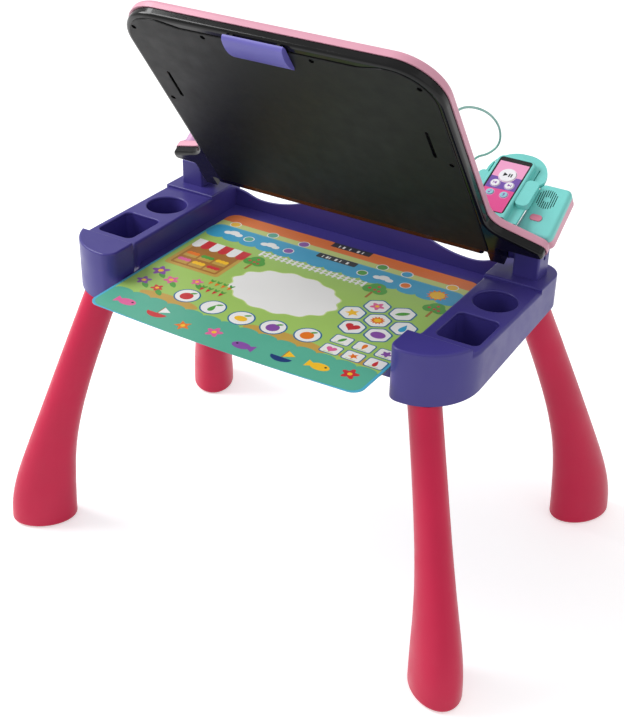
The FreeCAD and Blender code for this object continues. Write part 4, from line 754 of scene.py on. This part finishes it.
def screwSet(name, node, body, make, seats, finish):
    # one screw, copied to its seats
    first = crossScrew(screwMake, make["length"])
    copies = []
    for matrix in seats:
        copy = first.copy()
        copy.data = first.data.copy()
        bpy.context.scene.collection.objects.link(copy)
        copies.append(settle(copy, matrix))
    bpy.data.objects.remove(first)
    screws = joinAll(copies, name)
    bpy.ops.object.shade_smooth_by_angle(angle=math.radians(35))
    screws.data.materials.append(finish)
    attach(screws, body)
    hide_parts(node)


def makeScrews():
    flip = Matrix.Rotation(math.pi, 4, "X")
    seats = [lidMatrix @ Matrix.Translation(lidPlace(u, v, lidScrews["seat"])) @ flip
             for u, v in lidScrews["places"]]
    dark = mouldedPlastic("screwBlack", paint(34, 34, 36), 0.3)
    screwSet("lidScrews", "lid_screws", "lid", lidScrews, seats, dark)
    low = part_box("cover_screws")[0].z + screwMake["thick"] * mm
    slope, front = coverScrews["slope"], min(y for x, y in coverScrews["places"])
    seats = [Matrix.Translation((side * x * mm, y * mm, low + slope * (y - front) * mm)) @ flip
             for x, y in coverScrews["places"] for side in (1, -1)]
    screwSet("coverScrews", "cover_screws", "base", coverScrews, seats, finishes["steel"])
    seats = [Matrix.Translation((side * x * mm, y * mm, trayScrews["seat"] * mm)) @ flip
             for x, y in trayScrews["places"] for side in (1, -1)]
    screwSet("trayScrews", "tray_screws", "base", trayScrews, seats, finishes["steel"])


makeScrews()
print("screws driven")

# Floor and light
studio = {"floor": 30, "sky": 0.63, "seen": 0.47, "aim": (0, 0, 0.4),
          "lamps": [("keyLamp", (-2.1, -0.7, 2.3), 60, 1.5), ("fillLamp", (2.2, -0.4, 1.9), 5, 2.2)]}


def makeStage(make):
    bpy.ops.mesh.primitive_plane_add(size=make["floor"], location=(0, 0, -0.0005))
    floor = bpy.context.active_object
    floor.name = "studioFloor"
    material, tree, shader, place = startMaterial("studioFloor")
    shader.inputs["Base Color"].default_value = (0.86, 0.86, 0.86, 1)
    shader.inputs["Roughness"].default_value = 0.9
    shader.inputs["Specular IOR Level"].default_value = 0.1
    lightPath = tree.nodes.new("ShaderNodeLightPath")
    shader.inputs["Emission Color"].default_value = (1, 1, 1, 1)
    # the floor shows white to the camera and in reflections, and keeps its shadow
    rays = lightPath.outputs["Is Camera Ray"]
    for kind in ("Is Glossy Ray", "Is Transmission Ray"):
        rays = addMath(tree, "MAXIMUM", rays, lightPath.outputs[kind])
    tree.links.new(addMath(tree, "MULTIPLY", rays, make["seen"]), shader.inputs["Emission Strength"])
    floor.data.materials.append(material)
    world = bpy.data.worlds.new("studio")
    bpy.context.scene.world = world
    world.use_nodes = True
    sky = world.node_tree.nodes["Background"]
    sky.inputs["Color"].default_value = (1, 1, 1, 1)
    sky.inputs["Strength"].default_value = make["sky"]
    for name, place, power, size in make["lamps"]:
        bpy.ops.object.light_add(type="AREA", location=place)
        lamp = bpy.context.active_object
        lamp.name = name
        lamp.data.energy = power
        lamp.data.size = size
        aim = Vector(make["aim"]) - lamp.location
        lamp.rotation_euler = aim.to_track_quat("-Z", "Y").to_euler()


makeStage(studio)
bpy.context.scene.view_settings.view_transform = "Standard"
print("stage lit")
